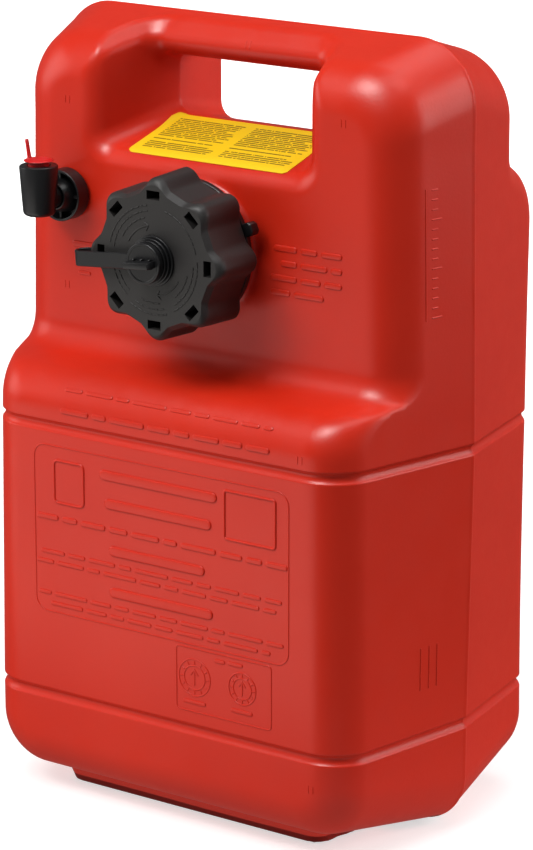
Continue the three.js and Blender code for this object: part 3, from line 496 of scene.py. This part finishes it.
def soften(outline, radius, closed=True, steps=4):
    made = []
    for i, here in enumerate(outline):
        here = np.array(here, float)
        if not closed and i in (0, len(outline) - 1):
            made.append(here)
            continue
        before = np.array(outline[i - 1], float) - here
        after = np.array(outline[(i + 1) % len(outline)], float) - here
        lengths = np.hypot(*before), np.hypot(*after)
        reach = min(radius, softness["mostShare"] * min(lengths))
        before, after = before / lengths[0] * reach, after / lengths[1] * reach
        made.append(here + before * softness["past"])
        made += [here + before * (1 - t) ** 2 + after * t ** 2 for t in np.linspace(0, 1, steps + 1)]
        made.append(here + after * softness["past"])
    return made


# Each row is a radius and a station, plain or with one value per side; a row of radius 0 is one point.
def revolve(rows, sides=96, closed=True):
    angles = 2 * np.pi * np.arange(sides) / sides
    points, rings = [], []
    for radius, station in rows:
        if np.max(radius) < 1e-6:
            rings.append([len(points)] * sides)
            points.append((0, 0, station))
            continue
        rings.append(range(len(points), len(points) + sides))
        points += zip(radius * np.cos(angles), radius * np.sin(angles), station + 0 * angles)
    faces = []
    for low, high in list(zip(rings, rings[1:])) + [(rings[-1], rings[0])] * closed:
        for k in range(sides):
            j = (k + 1) % sides
            face = [low[k], low[j], high[j], high[k]]
            face = [v for n, v in enumerate(face) if v != face[n - 1]]
            if len(face) > 2:
                faces.append(face)
    return points, faces


def turned(outline, radius, sides=96, closed=True):
    return revolve(soften(outline, radius, closed), sides, closed)


def ringShape(inner, outer, near, far, edge):
    return turned([(inner, near), (outer, near), (outer, far), (inner, far)], edge)


# Skin over rings of equal length, closed at both ends unless the rings come back to the first.
def skin(rings, joined=False):
    count, total = len(rings[0]), len(rings)
    points = [tuple(p) for ring in rings for p in ring]
    faces = []
    for i in range(total if joined else total - 1):
        low, high = i * count, ((i + 1) % total) * count
        for k in range(count):
            j = (k + 1) % count
            faces.append([low + k, low + j, high + j, high + k])
    if not joined:
        faces.append(list(range(count))[::-1])
        faces.append([(total - 1) * count + k for k in range(count)])
    return points, faces


def prism(outline, low, high):
    return skin([[(x, y, z) for x, y in outline] for z in (low, high)])


def block(xs, ys, zs):
    (left, right), (near, far) = xs, ys
    return prism([(left, near), (right, near), (right, far), (left, far)], *zs)


def merge(*shapes):
    points, faces = [], []
    for shapePoints, shapeFaces in shapes:
        faces += [[v + len(points) for v in f] for f in shapeFaces]
        points += [tuple(p) for p in shapePoints]
    return points, faces


def moved(shape, offset=(0, 0, 0), turn=0):
    x, y, z = np.array(shape[0], float).T
    c, s = cos(turn), sin(turn)
    return np.stack([x * c - y * s, x * s + y * c, z], 1) + np.array(offset, float), shape[1]


# The filler and the outlet each have a frame: x across, y up, and station out of the front face.
frames = {
    "filler": (0, -tank["upperFront"], filler["height"]),
    "outlet": (-84.8, -tank["upperFront"], 316.8),
}


def inFrame(name, shape):
    ox, oy, oz = frames[name]
    return [(ox + x, oy - station, oz + y) for x, y, station in shape[0]], shape[1]


def addShape(name, shape, body, slot, frameName=None, solid=None, sharp=32, bevel=0):
    points, faces = inFrame(frameName, shape) if frameName else shape
    item = addMesh(name, points, faces, body, slot, solid)
    if bevel:
        bevelItem(item, bevel)
    item.data.set_sharp_from_angle(angle=radians(sharp))


def applyModifiers(item):
    view = bpy.context.evaluated_depsgraph_get()
    view.update()
    made = bpy.data.meshes.new_from_object(item.evaluated_get(view))
    item.modifiers.clear()
    old, item.data = item.data, made
    bpy.data.meshes.remove(old)
    made.shade_smooth()


def bevelItem(item, width):
    modifier = item.modifiers.new("bevel", "BEVEL")
    modifier.width = width * mm
    modifier.segments = 3
    modifier.limit_method = "ANGLE"
    modifier.angle_limit = radians(35)
    applyModifiers(item)


def cutItem(item, shape, solver="EXACT"):
    cutter = newObject("cutter", newMesh("cutter", *shape))
    modifier = item.modifiers.new("cut", "BOOLEAN")
    modifier.operation = "DIFFERENCE"
    modifier.solver = solver
    modifier.object = cutter
    applyModifiers(item)
    bpy.data.objects.remove(cutter)


# Helical ridge on a wall of a given radius; a negative height stands inwards. Its ends fade out.
ridge = {"pitch": 6, "halfWidth": 1.3, "shoulder": 0.76, "crest": 0.4, "sink": 0.4, "stepsPerTurn": 72,
         "endHeight": 0.12, "fade": 9}


def helix(wall, height, start, turns):
    half = ridge["halfWidth"]
    rings = []
    for share in np.linspace(0, 1, int(turns * ridge["stepsPerTurn"]) + 1):
        angle = share * turns * 2 * pi
        tall = height * min(1, ridge["endHeight"] + ridge["fade"] * min(share, 1 - share))
        middle = start + share * turns * ridge["pitch"]
        root = wall - copysign(ridge["sink"], height)
        section = [(root, half), (wall + tall / 2, half * ridge["shoulder"]),
                   (wall + tall, half * ridge["crest"])]
        section += [(r, -a) for r, a in section[::-1]]
        if height < 0:
            section = section[::-1]
        rings.append([(r * cos(angle), r * sin(angle), middle + a) for r, a in section])
    return skin(rings)


# Spout under the outlet, and its gasket: (inner radius, outer radius, near, far, edge).
spout = {"bore": 4.8, "pipe": (4.8, 7, -2, 5, 0.4), "gasket": (4.8, 7, 5.3, 6.5, 0.2)}

makeTank()
print("tank skin made")

neck = {"from": -2, "lip": 0.7, "thread": {"height": 1.6, "start": 23, "turns": 1.25}}
# Locking ring, with a sunk band between its rims, and its tab: a block with a cut outer end.
ring = {"outline": [(25.4, 7.7), (36.4, 7.7), (36.4, 11.1), (33.8, 11.1), (33.2, 10.4), (27.8, 10.4),
                    (27.2, 11.1), (25.4, 11.1)], "edge": 0.8}
tab = {"outline": [(32.4, -3.5), (39.4, -3.5), (41, -1.9), (41, 1.9), (39.4, 3.5), (32.4, 3.5)],
       "low": 5.1, "high": 11.1, "angle": 22.5, "edge": 0.7}

tube = ringShape(filler["bore"], filler["neck"], neck["from"], filler["neckEnd"], neck["lip"])
tube = merge(tube, helix(filler["neck"], **neck["thread"]))
addShape("fillerNeck", tube, "tank", "tank_plastic", "filler")
disc = turned(ring["outline"], ring["edge"])
addShape("lockingRing", disc, "tank", "fitting_plastic", "filler", "neck_ring")
stub = moved(prism(tab["outline"], tab["low"], tab["high"]), turn=radians(tab["angle"]))
addShape("lockingTab", stub, "tank", "fitting_plastic", "filler", bevel=tab["edge"])

cap = {
    "lobes": 8, "tip": 41.2, "valley": 35.4, "lobeRadius": 6.2, "lobeBlend": 3.4, "lobeStart": 1.2,
    "start": 12, "face": 41.1, "draft": 0.04, "bore": 29.6, "faceThickness": 2.4,
    "valleyEdge": 3.2, "lobeEdge": 4.6, "arcEnd": 74, "chamfer": 0.62,
    # the open end's edge as (up from the start, inset), then the face's rings
    "foot": ((0, 1.2), (0.25, 0.35), (0.9, 0)), "faceEdge": 38, "faceRings": (30, 22, 13.2, 0),
    "pocketLength": 8, "pocketWidth": 4.5, "pocketRadius": 32.8, "pocketDepth": 16,
    "columns": 44, "sharp": 19,
}


# Narrow lobes with long flats between them.
def lobedRadius(angles):
    step = 2 * pi / cap["lobes"]
    away = angles - step * np.round(angles / step)

    def isInside(radius):
        x, y = radius * np.cos(away), radius * np.sin(away)
        flat = cap["valley"] - x * cos(step / 2) - np.abs(y) * sin(step / 2)
        lobe = cap["lobeRadius"] - np.hypot(x - cap["tip"] + cap["lobeRadius"], y)
        return roundedMax(flat, lobe, cap["lobeBlend"]) > 0

    return closeIn(isInside, np.full_like(angles, cap["valley"] / 2), np.full_like(angles, cap["tip"] + 5))


def makeCap():
    count = cap["lobes"] * cap["columns"]
    outline = lobedRadius(2 * np.pi * np.arange(count) / count)
    lobeStart = cap["valley"] + cap["lobeStart"]
    share = np.clip((outline - lobeStart) / (cap["tip"] - lobeStart), 0, 1)
    edge = cap["valleyEdge"] + (cap["lobeEdge"] - cap["valleyEdge"]) * share
    face, start, bore = cap["face"], cap["start"], cap["bore"]
    ceiling = face - cap["faceThickness"]
    walls = [(start + up, inset) for up, inset in cap["foot"]]
    walls += [(station, 0) for station in np.linspace(start + 2.5, face - cap["lobeEdge"] - 1, 7)]
    end = radians(cap["arcEnd"])
    for t in np.linspace(0, end, 9):
        # round over the lobes, a crisp slanted edge along the flats
        up = share * sin(t) / sin(end) + (1 - share) * t / end
        inset = edge * (share * (1 - cos(t)) + (1 - share) * cap["chamfer"] * t / end)
        walls.append((face - edge * (1 - up), inset))
    rows = [(0, ceiling), (bore - 1, ceiling), (bore, ceiling - 1), (bore, start + 1), (bore + 0.7, start)]
    rows += [(outline - inset + cap["draft"] * (face - station), station) for station, inset in walls]
    rows += [(outline - inset - 0.5, face), (np.minimum(outline - inset - 1.6, cap["faceEdge"]), face)]
    rows += [(radius, face) for radius in cap["faceRings"]]
    points, faces = inFrame("filler", revolve(rows, count, closed=False))
    item = addMesh("capShell", points, faces, "cap", "cap_plastic", "cap_shell")
    radius, width, length = cap["pocketRadius"], cap["pocketWidth"] / 2, cap["pocketLength"] / 2
    pocket = block((radius - width, radius + width), (-length, length), (face - cap["pocketDepth"], face + 1))
    pockets = [moved(pocket, turn=2 * pi * k / cap["lobes"]) for k in range(cap["lobes"])]
    cutItem(item, inFrame("filler", merge(*pockets)))
    item.data.set_sharp_from_angle(angle=radians(cap["sharp"]))


makeCap()

# Fine raised marks on the cap's face: broken rings of plain dashes, and two turn arrows by the boss.
marks = {
    "half": 0.42, "height": 0.34, "sink": 0.3, "gap": 0.9, "dashes": (2.6, 1.5, 3.4, 2, 1.3, 3),
    # (radius, first angle, last angle) in degrees
    "rows": ((27.6, 98, 168), (24.9, 98, 172), (21.6, 104, 160), (26.6, 14, 74), (26.8, -62, 8),
             (24.2, -58, 4), (21.2, -52, -8), (27.4, -122, -72), (24.6, -118, -74), (21.6, -112, -76),
             (25.6, 196, 232), (22.8, 200, 230)),
    "arrowRadius": 17.4, "arrows": ((100, 152), (-84, -30)), "arrowHead": 2.1,
}


def onFace(radius, angle):
    return radius * cos(radians(angle)), radius * sin(radians(angle))


def arcPath(radius, first, last, step=2.5):
    count = max(2, int(abs(last - first) / step))
    return [onFace(radius, first + (last - first) * k / count) for k in range(count + 1)]


def faceBead(path):
    path = np.array(path, float)
    half, height, sink = marks["half"], marks["height"], marks["sink"]
    section = [(half * cos(t), height * sin(t)) for t in np.linspace(0, pi, 6)]
    section += [(-half, -sink), (half, -sink)]
    along = unit(np.gradient(path, axis=0))
    return skin([[(x - dy * a, y + dx * a, cap["face"] + up) for a, up in section]
                 for (x, y), (dx, dy) in zip(path, along)])


def makeMarks():
    beads = []
    for radius, first, last in marks["rows"]:
        at, k = first, int(radius)
        while True:
            end = at + degrees(marks["dashes"][k % len(marks["dashes"])] / radius)
            if end > last:
                break
            beads.append(faceBead(arcPath(radius, at, end)))
            at = end + degrees(marks["gap"] / radius)
            k += 1
    radius, head = marks["arrowRadius"], marks["arrowHead"]
    for first, last in marks["arrows"]:
        beads.append(faceBead(arcPath(radius, first, last)))
        for side in (-head, head):
            back = onFace(radius + side, first + degrees(head / radius))
            beads.append(faceBead([onFace(radius, first), back]))
    addShape("capMarks", merge(*beads), "cap", "cap_plastic", "filler", sharp=60)


makeMarks()

# Boss of the vent, and the threaded cup inside the cap.
boss = {"outline": [(3.4, 40.1), (12.8, 40.1), (12.8, 42.6), (10, 42.6), (10, 43.2), (11.8, 43.2),
                    (11.8, 44.4), (3.4, 44.4)], "edge": 0.35}
core = {"outline": [(3.8, 35.8), (27, 35.8), (27, 14.5), (29.2, 14.5), (29.2, 38.4), (3.8, 38.4)],
        "edge": 0.5, "thread": {"wall": 27, "height": -1.6, "start": 20, "turns": 0.75}}
# (inner radius, outer radius, near, far, edge)
capGasket = (21.7, 25.4, 33.15, 35.45, 0.5)
ventSeal = (3.4, 5.9, 44.7, 46.2, 0.35)

addShape("ventBoss", turned(boss["outline"], boss["edge"]), "cap", "fitting_plastic", "filler")
cup = merge(turned(core["outline"], core["edge"]), helix(**core["thread"]))
addShape("capCore", cup, "cap", "core_plastic", "filler", "cap_core")
addShape("capGasket", ringShape(*capGasket), "cap_seal", "seal_rubber", "filler", "cap_gasket")
addShape("ventSeal", ringShape(*ventSeal), "vent_seal", "seal_rubber", "filler", "vent_seal")

# Strap of the vent: an eye round the boss, as a ring above, and a band that bends back under itself, with
# its bend as (across, station, radius). The vent screw's wing stands along the strap.
strap = {"eye": (6.3, 10.9, 44.7, 46.2, 0.35), "turn": radians(5),
         "width": 7.9, "thickness": 1.5, "edge": 0.35,
         "over": [(-7.8, 46.2), (-14.9, 46.2), (-32.8, 46.2), (-38.8, 46.2)],
         "bend": (-42.8, 41, 5.2), "under": [(-40.8, 35.8), (-39.2, 35.8)]}
screw = {"outline": [(0, 36.5), (3, 36.5), (3, 46.5), (10.4, 46.5), (10.4, 50.2), (9, 50.2), (8.7, 49.95),
                     (0, 49.95)], "edge": 0.7,
         "wing": ((-7.5, 7.5), (-1.7, 1.7), (49.3, 56.3)), "wingEdge": 0.35,
         "nub": [(0, 49.6), (0.75, 49.6), (0.75, 51.3), (0, 51.9)], "nubEdge": 0.5,
         "nubsAt": [(x, y, 0) for x in (-4.95, 0, 4.95) for y in (-2, 2)]}


def makeStrap():
    thick, edge, half = strap["thickness"], strap["edge"], strap["width"] / 2
    across, station, bend = strap["bend"]
    path = strap["over"] + [(across + bend * cos(angle), station + bend * sin(angle))
                            for angle in np.linspace(pi / 2, 3 * pi / 2, 19)] + strap["under"]
    along = unit(np.gradient(np.array(path), axis=0))
    section = [(half - edge, 0), (half, edge), (half, thick - edge), (half - edge, thick)]
    section += [(-y, depth) for y, depth in section[::-1]]
    band = skin([[(x - dy * depth, y, z + dx * depth) for y, depth in section]
                 for (x, z), (dx, dy) in zip(path, along)])
    addShape("ventStrap", moved(band, turn=strap["turn"]), "cap", "fitting_plastic", "filler", sharp=28)
    eye = moved(ringShape(*strap["eye"]), turn=strap["turn"])
    addShape("strapEye", eye, "cap", "fitting_plastic", "filler", "vent_strap")


makeStrap()
head = turned(screw["outline"], screw["edge"], closed=False)
addShape("ventScrew", head, "vent", "fitting_plastic", "filler", "vent_screw")
wing = moved(block(*screw["wing"]), turn=strap["turn"])
addShape("ventWing", wing, "vent", "fitting_plastic", "filler", bevel=screw["wingEdge"])
nub = turned(screw["nub"], screw["nubEdge"], 20, closed=False)
nubs = [moved(moved(nub, at), turn=strap["turn"]) for at in screw["nubsAt"]]
addShape("ventNubs", merge(*nubs), "vent", "fitting_plastic", "filler")

# The outlet, from the tank outwards: a cup-shaped ribbed nut, and a pipe into an upright barrel.
nut = {"outline": [(7.4, 1.2), (13.4, 1.2), (13.4, 9.8), (12.1, 9.8), (11.8, 3.6), (9.3, 3.6), (8.6, 8.7),
                   (6.7, 13.3), (5.8, 13.3), (5.8, 8.7), (7.4, 8.7)], "edge": 0.5,
       "ribs": 4, "rib": [(8.1, 2.6), (12.7, 2.6), (12.7, 8.3), (8.1, 8.1)], "ribHalf": 0.7,
       "ribEdge": 0.25}
barrel = {"station": 25.5, "shift": 0.3, "outer": [(0, -7.4), (8.2, -7.4), (10, 18.6)], "round": 2.8,
          "mouth": [(9.99, 17.7), (9.85, 18.25), (9.4, 18.6), (6.4, 18.6), (5.9, 18.1), (5.9, 3.6), (0, 3.6)],
          "pipe": [(0, -20), (4.4, -20), (4.4, 6.8), (7, 6.8), (7, 8.4), (5.4, 8.4), (5.4, 25.5), (0, 25.5)],
          "pipeEdge": 0.4}


# Upright turned shapes of the outlet stand on the barrel's axis.
def upright(shape):
    return [(x + barrel["shift"], up, barrel["station"] - y) for x, y, up in shape[0]], shape[1]


body = turned(nut["outline"], nut["edge"])
addShape("outletNut", body, "tank", "fitting_plastic", "outlet", "outlet_nut")
rib = skin([[(x, y, station) for x, station in nut["rib"]] for y in (nut["ribHalf"], -nut["ribHalf"])])
ribs = merge(*(moved(rib, turn=2 * pi * k / nut["ribs"]) for k in range(nut["ribs"])))
addShape("outletRibs", ribs, "tank", "fitting_plastic", "outlet", bevel=nut["ribEdge"])
outline = soften(barrel["outer"], barrel["round"], closed=False, steps=8)[:-1] + barrel["mouth"]
outer = upright(revolve(outline, closed=False))
addShape("outletElbow", outer, "tank", "fitting_plastic", "outlet", "outlet_elbow")
pipe = turned(barrel["pipe"], barrel["pipeEdge"], 64, closed=False)
addShape("outletPipe", pipe, "tank", "fitting_plastic", "outlet")

plug = {"outline": [(0, 9.6), (5.5, 9.6), (5.5, 20.6), (7.3, 20.7), (7.7, 21.1), (6.7, 21.55), (5.5, 21.8),
                    (0, 21.8)], "edge": 0.35}
# The pull tab leans out; its rings are (share of its height, growth of its section).
pullTab = {"at": -5.9, "from": 21.8, "height": 9.5, "thickness": 1.4, "width": 2.4, "lean": radians(10),
           "squareness": 0.6,
           "rings": ((-0.08, 1.5), (0.02, 1.15), (0.1, 1), (0.5, 0.94), (0.93, 0.92), (0.98, 0.8), (1, 0.5))}


def makePlug():
    disc = upright(turned(plug["outline"], plug["edge"], 64, closed=False))
    addShape("shippingPlug", disc, "plug", "plug_plastic", "outlet", "shipping_plug")
    rings = []
    for share, grow in pullTab["rings"]:
        up = share * pullTab["height"]
        across, high = pullTab["at"] - up * sin(pullTab["lean"]), pullTab["from"] + up * cos(pullTab["lean"])
        section = [[copysign(abs(v) ** pullTab["squareness"], v) * grow / 2 for v in (cos(t), sin(t))]
                   for t in np.linspace(0, 2 * pi, 16, endpoint=False)]
        rings.append([(across + x * pullTab["thickness"], y * pullTab["width"], high) for x, y in section])
    addShape("pullTab", upright(skin(rings)), "plug", "plug_plastic", "outlet", sharp=50)


makePlug()
addShape("outletGasket", ringShape(*spout["gasket"]), "tank", "seal_rubber", "outlet", "outlet_gasket")
addShape("outletSpout", ringShape(*spout["pipe"]), "tank", "tank_plastic", "outlet")
print("cap, vent and outlet made")

# Details moulded into the skin, as fine raised beads: plain bars, frames, dials and scales.
relief = {
    # kind: (half width, height)
    "tick": (0.38, 0.24), "line": (0.45, 0.36), "rib": (0.75, 0.7),
    "title": (2.7, 0.85), "row": (1.5, 0.64), "small": (1.1, 0.52),
    "sink": 0.45, "gap": 2.2, "dashes": (9, 15, 6, 19, 11, 7, 13), "least": 3, "spacing": 2,
    # angles of the rings that round a bead's ends
    "ends": (14, 32, 55, 75),
}
# (left, right, height, kind) on the front; all but titles are broken into dashes
frontRibs = [
    (-60.7, 67, 223.4, "small"), (-60.7, 67, 213, "row"),
    (-34.7, 33.8, 183.4, "title"), (-31.7, 30.3, 168.6, "title"), (-77, 78, 155, "row"),
    (-29, 26, 143.8, "title"), (-75, 75, 136.2, "small"), (-78, 77, 130.8, "small"),
    (-29, 31, 121.6, "title"), (-77, 76, 113.8, "small"), (-69.5, 68, 108.4, "small"),
    (45, 83, 305, "row"), (49, 83, 297.5, "row"), (43, 83, 290, "row"), (43, 79, 282.5, "row"),
    (-82, -63, 290.5, "row"), (-79, -66, 275.5, "small"),
    (16, 28, 73, "small"), (46, 58, 74, "small"), (35.5, 40, 98, "small"), (44, 51, 98.4, "small"),
]
# middles of small pairs of upright ticks; frames as (left, right, low, high, corner), fine and stout
mouldTicks = [(-85.9, 365.2), (2.2, 396.9), (84.5, 371.4), (-87.8, 268), (86.4, 211.4), (93.4, 41.8)]
panels = [(-80, 80, 103.8, 193.4, 7), (10.6, 69.5, 68, 101.8, 2)]
plates = [(-67, -48, 163.5, 186, 2.5), (41, 72, 163.5, 188.5, 1.5)]
# (x, height, radius), with rings, ticks and a pointer as shares of the radius
dials = [(22, 86.2, 9.8), (51.7, 86.3, 8.4)]
dial = {"rings": (1, 0.66), "ticks": 12, "tick": (0.76, 0.88), "tail": -0.4, "tip": 0.45,
        "head": (0.22, 0.15)}
# right side: upright lines as (across, low, high), and the level scale's marks, each fifth one longer
sideLines = [(-31.3, 274.6, 339.8), (-22, 84, 106), (-27.5, 84, 106), (-33.5, 84, 106)]
scale = {"marks": 14, "first": 275.5, "pitch": 4.9, "left": -27.2, "right": (-24, -21.5), "long": 5}


# Points on the skin straight ahead of starts that are outside it.
def landOn(starts, ahead):
    at = starts
    for step in range(120):
        at = np.where(outerInset(*at.T)[:, None] < 0, at + ahead, at)
    return closeIn(lambda points: outerInset(*points.T)[:, None] > 0, at, at - ahead, 24)


def bead(path, kind, closed=False, side=False):
    path = np.array(path, float)
    fine = []
    for a, b in zip(path, np.roll(path, -1, 0) if closed else path[1:]):
        count = max(1, int(np.hypot(*(b - a)) / relief["spacing"]))
        fine += [a + (b - a) * k / count for k in range(count)]
    if not closed:
        fine.append(path[-1])
    across, up = np.array(fine).T
    if side:
        on = landOn(np.stack([np.full_like(up, 134), across, up], 1), (-1, 0, 0))
    else:
        on = landOn(np.stack([across, np.full_like(up, -100), up], 1), (0, 1, 0))
    out = outward(on, 0.6)
    along = unit(np.roll(on, -1, 0) - np.roll(on, 1, 0) if closed else np.gradient(on, axis=0))
    across = np.cross(out, along)
    half, height = relief[kind]
    sizes = np.ones(len(on))
    if not closed:
        # rounded ends
        turns = np.radians(relief["ends"])
        reach = half * np.cos(turns)[:, None]
        on = np.concatenate([on[:1] - along[:1] * reach, on, (on[-1:] + along[-1:] * reach)[::-1]])
        out, across = (np.concatenate([v[[0] * len(turns)], v, v[[-1] * len(turns)]]) for v in (out, across))
        sizes = np.concatenate([np.sin(turns), sizes, np.sin(turns)[::-1]])
    # broad bars have flat tops
    flat = 0.5 if half > 1 else 1
    shape = [(copysign(abs(cos(t)) ** flat, cos(t)), max(0, sin(t)) ** flat) for t in np.linspace(0, pi, 9)]
    rings = []
    for point, o, a, size in zip(on, out, across, sizes):
        section = [(u * half * size, v * height * size ** 0.5) for u, v in shape]
        section += [(-half * size, -relief["sink"]), (half * size, -relief["sink"])]
        rings.append([point + a * u + o * v for u, v in section])
    return skin(rings, joined=closed)


def roundedFrame(left, right, low, high, radius):
    path = []
    for cx, cz, start in ((right - radius, high - radius, 0), (left + radius, high - radius, 90),
                          (left + radius, low + radius, 180), (right - radius, low + radius, 270)):
        for k in range(7):
            x, z = onFace(radius, start + 15 * k)
            path.append((cx + x, cz + z))
    return path


def makeDial(x, z, radius):
    def at(across, up):
        return x + across * radius, z + up * radius

    def ray(share, angle):
        return at(*onFace(share, angle))

    beads = [bead([ray(share, 9 * k) for k in range(40)], "line", closed=True) for share in dial["rings"]]
    for k in range(dial["ticks"]):
        beads.append(bead([ray(share, 360 * k / dial["ticks"]) for share in dial["tick"]], "line"))
    across, up = dial["head"]
    tip = at(0, dial["tip"])
    beads.append(bead([at(0, dial["tail"]), tip], "line"))
    beads.append(bead([at(-across, up), tip, at(across, up)], "line"))
    return beads


def makeRelief():
    beads = []
    for n, (left, right, z, kind) in enumerate(frontRibs):
        if kind == "title":
            beads.append(bead([(left, z), (right, z)], kind))
            continue
        at, k = left, n
        while at < right - relief["least"]:
            end = min(right, at + relief["dashes"][k % len(relief["dashes"])])
            beads.append(bead([(at, z), (end, z)], kind))
            at = end + relief["gap"] + 2 * relief[kind][0]
            k += 1
    for x, z in mouldTicks:
        beads += [bead([(x + off, z - 1.6), (x + off, z + 1.6)], "tick") for off in (-1.3, 1.3)]
    beads += [bead(roundedFrame(*panel), "line", closed=True) for panel in panels]
    beads += [bead(roundedFrame(*plate), "rib", closed=True) for plate in plates]
    for place in dials:
        beads += makeDial(*place)
    lines = [[(y, low), (y, high)] for y, low, high in sideLines]
    for k in range(scale["marks"]):
        z = scale["first"] + scale["pitch"] * k
        lines.append([(scale["left"], z), (scale["right"][k % scale["long"] == 0], z)])
    beads += [bead(line, "line", side=True) for line in lines]
    addShape("mouldedRelief", merge(*beads), "tank", "tank_plastic", sharp=60)


makeRelief()
print("moulded relief made")

# Sticker on the recess floor, and the rules printed on it: pitch of the rows, share of it that is ink, bare
# margin in front and behind, ends of the two columns, and what breaks the rows up.
label = {
    "left": -51, "right": 47.8, "front": -45.8, "rear": -2, "lift": 0.12, "thickness": 0.3,
    "corner": 2.4, "wallMargin": 3.5, "columns": 72, "rows": 34, "above": 372,
    "pitch": 1.9, "ink": 0.52, "margin": 2.4, "columnEnds": ((-46, -4.5), (1.5, 44)),
    "inkColour": (58, 46, 20), "inkStrength": 0.8, "emptyRows": 0.07, "shortening": 0.22,
    "wordSize": 1.5, "wordGaps": 0.38, "rowStep": 7.31,
}


def makeLabel():
    rows, columns, corner = label["rows"], label["columns"], label["corner"]
    y = np.linspace(label["front"], label["rear"], rows + 1)
    far = np.minimum(y - y[0], y[-1] - y)
    inset = corner - np.sqrt(np.maximum(0, corner ** 2 - np.maximum(0, corner - far) ** 2))
    most = recess["halfWidth"] + np.abs(y) * recess["drafts"][0] - label["wallMargin"]
    left = np.maximum(label["left"], recess["shift"] - most) + inset
    right = np.minimum(label["right"], recess["shift"] + most) - inset
    x = left[:, None] + (right - left)[:, None] * np.linspace(0, 1, columns + 1)
    wide = columns + 1
    x, y = x.ravel(), np.repeat(y, wide)
    on = landOn(np.stack([x, y, np.full_like(x, label["above"])], 1), (0, 0, -0.5))
    out = outward(on, 0.8)
    low = on + out * label["lift"]
    high = low + out * label["thickness"]
    count = len(on)
    faces = []
    for a in (r * wide + c for r in range(rows) for c in range(columns)):
        quad = [a, a + 1, a + 1 + wide, a + wide]
        faces += [[v + count for v in quad], quad[::-1]]
    border = list(range(columns)) + [r * wide + columns for r in range(rows)]
    border += [rows * wide + c for c in range(columns, 0, -1)] + [r * wide for r in range(rows, 0, -1)]
    for a, b in zip(border, border[1:] + border[:1]):
        faces.append([a, b, b + count, a + count])
    shape = np.concatenate([low, high]), faces
    addShape("labelSheet", shape, "tank", "sticker", solid="label_sheet", sharp=40)
    # keeps its yellow off the recess walls
    item = bpy.data.objects["labelSheet"]
    item.visible_diffuse = False
    item.visible_glossy = False


# Prints plain broken rules on the sticker: a row's ink is on or off, and gaps break it up.
def printLabel():
    tree = materials["sticker"].node_tree
    shader = tree.nodes["Principled BSDF"]

    def calc(operation, *values):
        return addNode(tree, "ShaderNodeMath", dict(enumerate(values)), operation=operation).outputs[0]

    def isBetween(value, low, high):
        return calc("MULTIPLY", calc("GREATER_THAN", value, low), calc("LESS_THAN", value, high))

    where = addNode(tree, "ShaderNodeTexCoord").outputs["Object"]
    x, y, _ = addNode(tree, "ShaderNodeSeparateXYZ", {0: where}).outputs
    along = calc("DIVIDE", y, label["pitch"] * mm)
    row = calc("FLOOR", along)
    inRow = calc("LESS_THAN", calc("FRACT", along), label["ink"])
    front, rear = label["front"] + label["margin"], label["rear"] - label["margin"]
    inRow = calc("MULTIPLY", inRow, isBetween(y, front * mm, rear * mm))
    luck = addNode(tree, "ShaderNodeTexWhiteNoise", {"W": row}, noise_dimensions="1D").outputs["Value"]
    inked = calc("MULTIPLY", inRow, calc("GREATER_THAN", luck, label["emptyRows"]))
    # each row is shortened at its right end by its own luck
    columns = []
    for low, high in label["columnEnds"]:
        shorter = calc("MULTIPLY", calc("POWER", luck, 3), label["shortening"] * (high - low) * mm)
        columns.append(isBetween(x, low * mm, calc("SUBTRACT", high * mm, shorter)))
    spots = addNode(tree, "ShaderNodeCombineXYZ", {0: calc("DIVIDE", x, label["wordSize"] * mm),
                                                   1: calc("MULTIPLY", row, label["rowStep"])})
    words = addNode(tree, "ShaderNodeTexNoise", {"Vector": spots.outputs[0], "Scale": 1, "Detail": 1})
    words = calc("GREATER_THAN", words.outputs["Fac"], label["wordGaps"])
    ink = calc("MULTIPLY", inked, calc("MULTIPLY", calc("ADD", *columns), words))
    ink = calc("MULTIPLY", ink, label["inkStrength"])
    paper = shader.inputs["Base Color"].links[0].from_socket
    setInputs(tree, shader, {"Base Color": mixColour(tree, ink, paper, linear(label["inkColour"]))})


makeLabel()
printLabel()
print("sticker made")

# The solids inside the tank stay as they are, with finishes of their own.
carried = {"pickup_hose": "hose_rubber", "strainer_cage": "cage_plastic", "strainer_mesh": "mesh_steel"}
for name, slot in carried.items():
    nodes[name].data.materials.clear()
    nodes[name].data.materials.append(materials[slot])
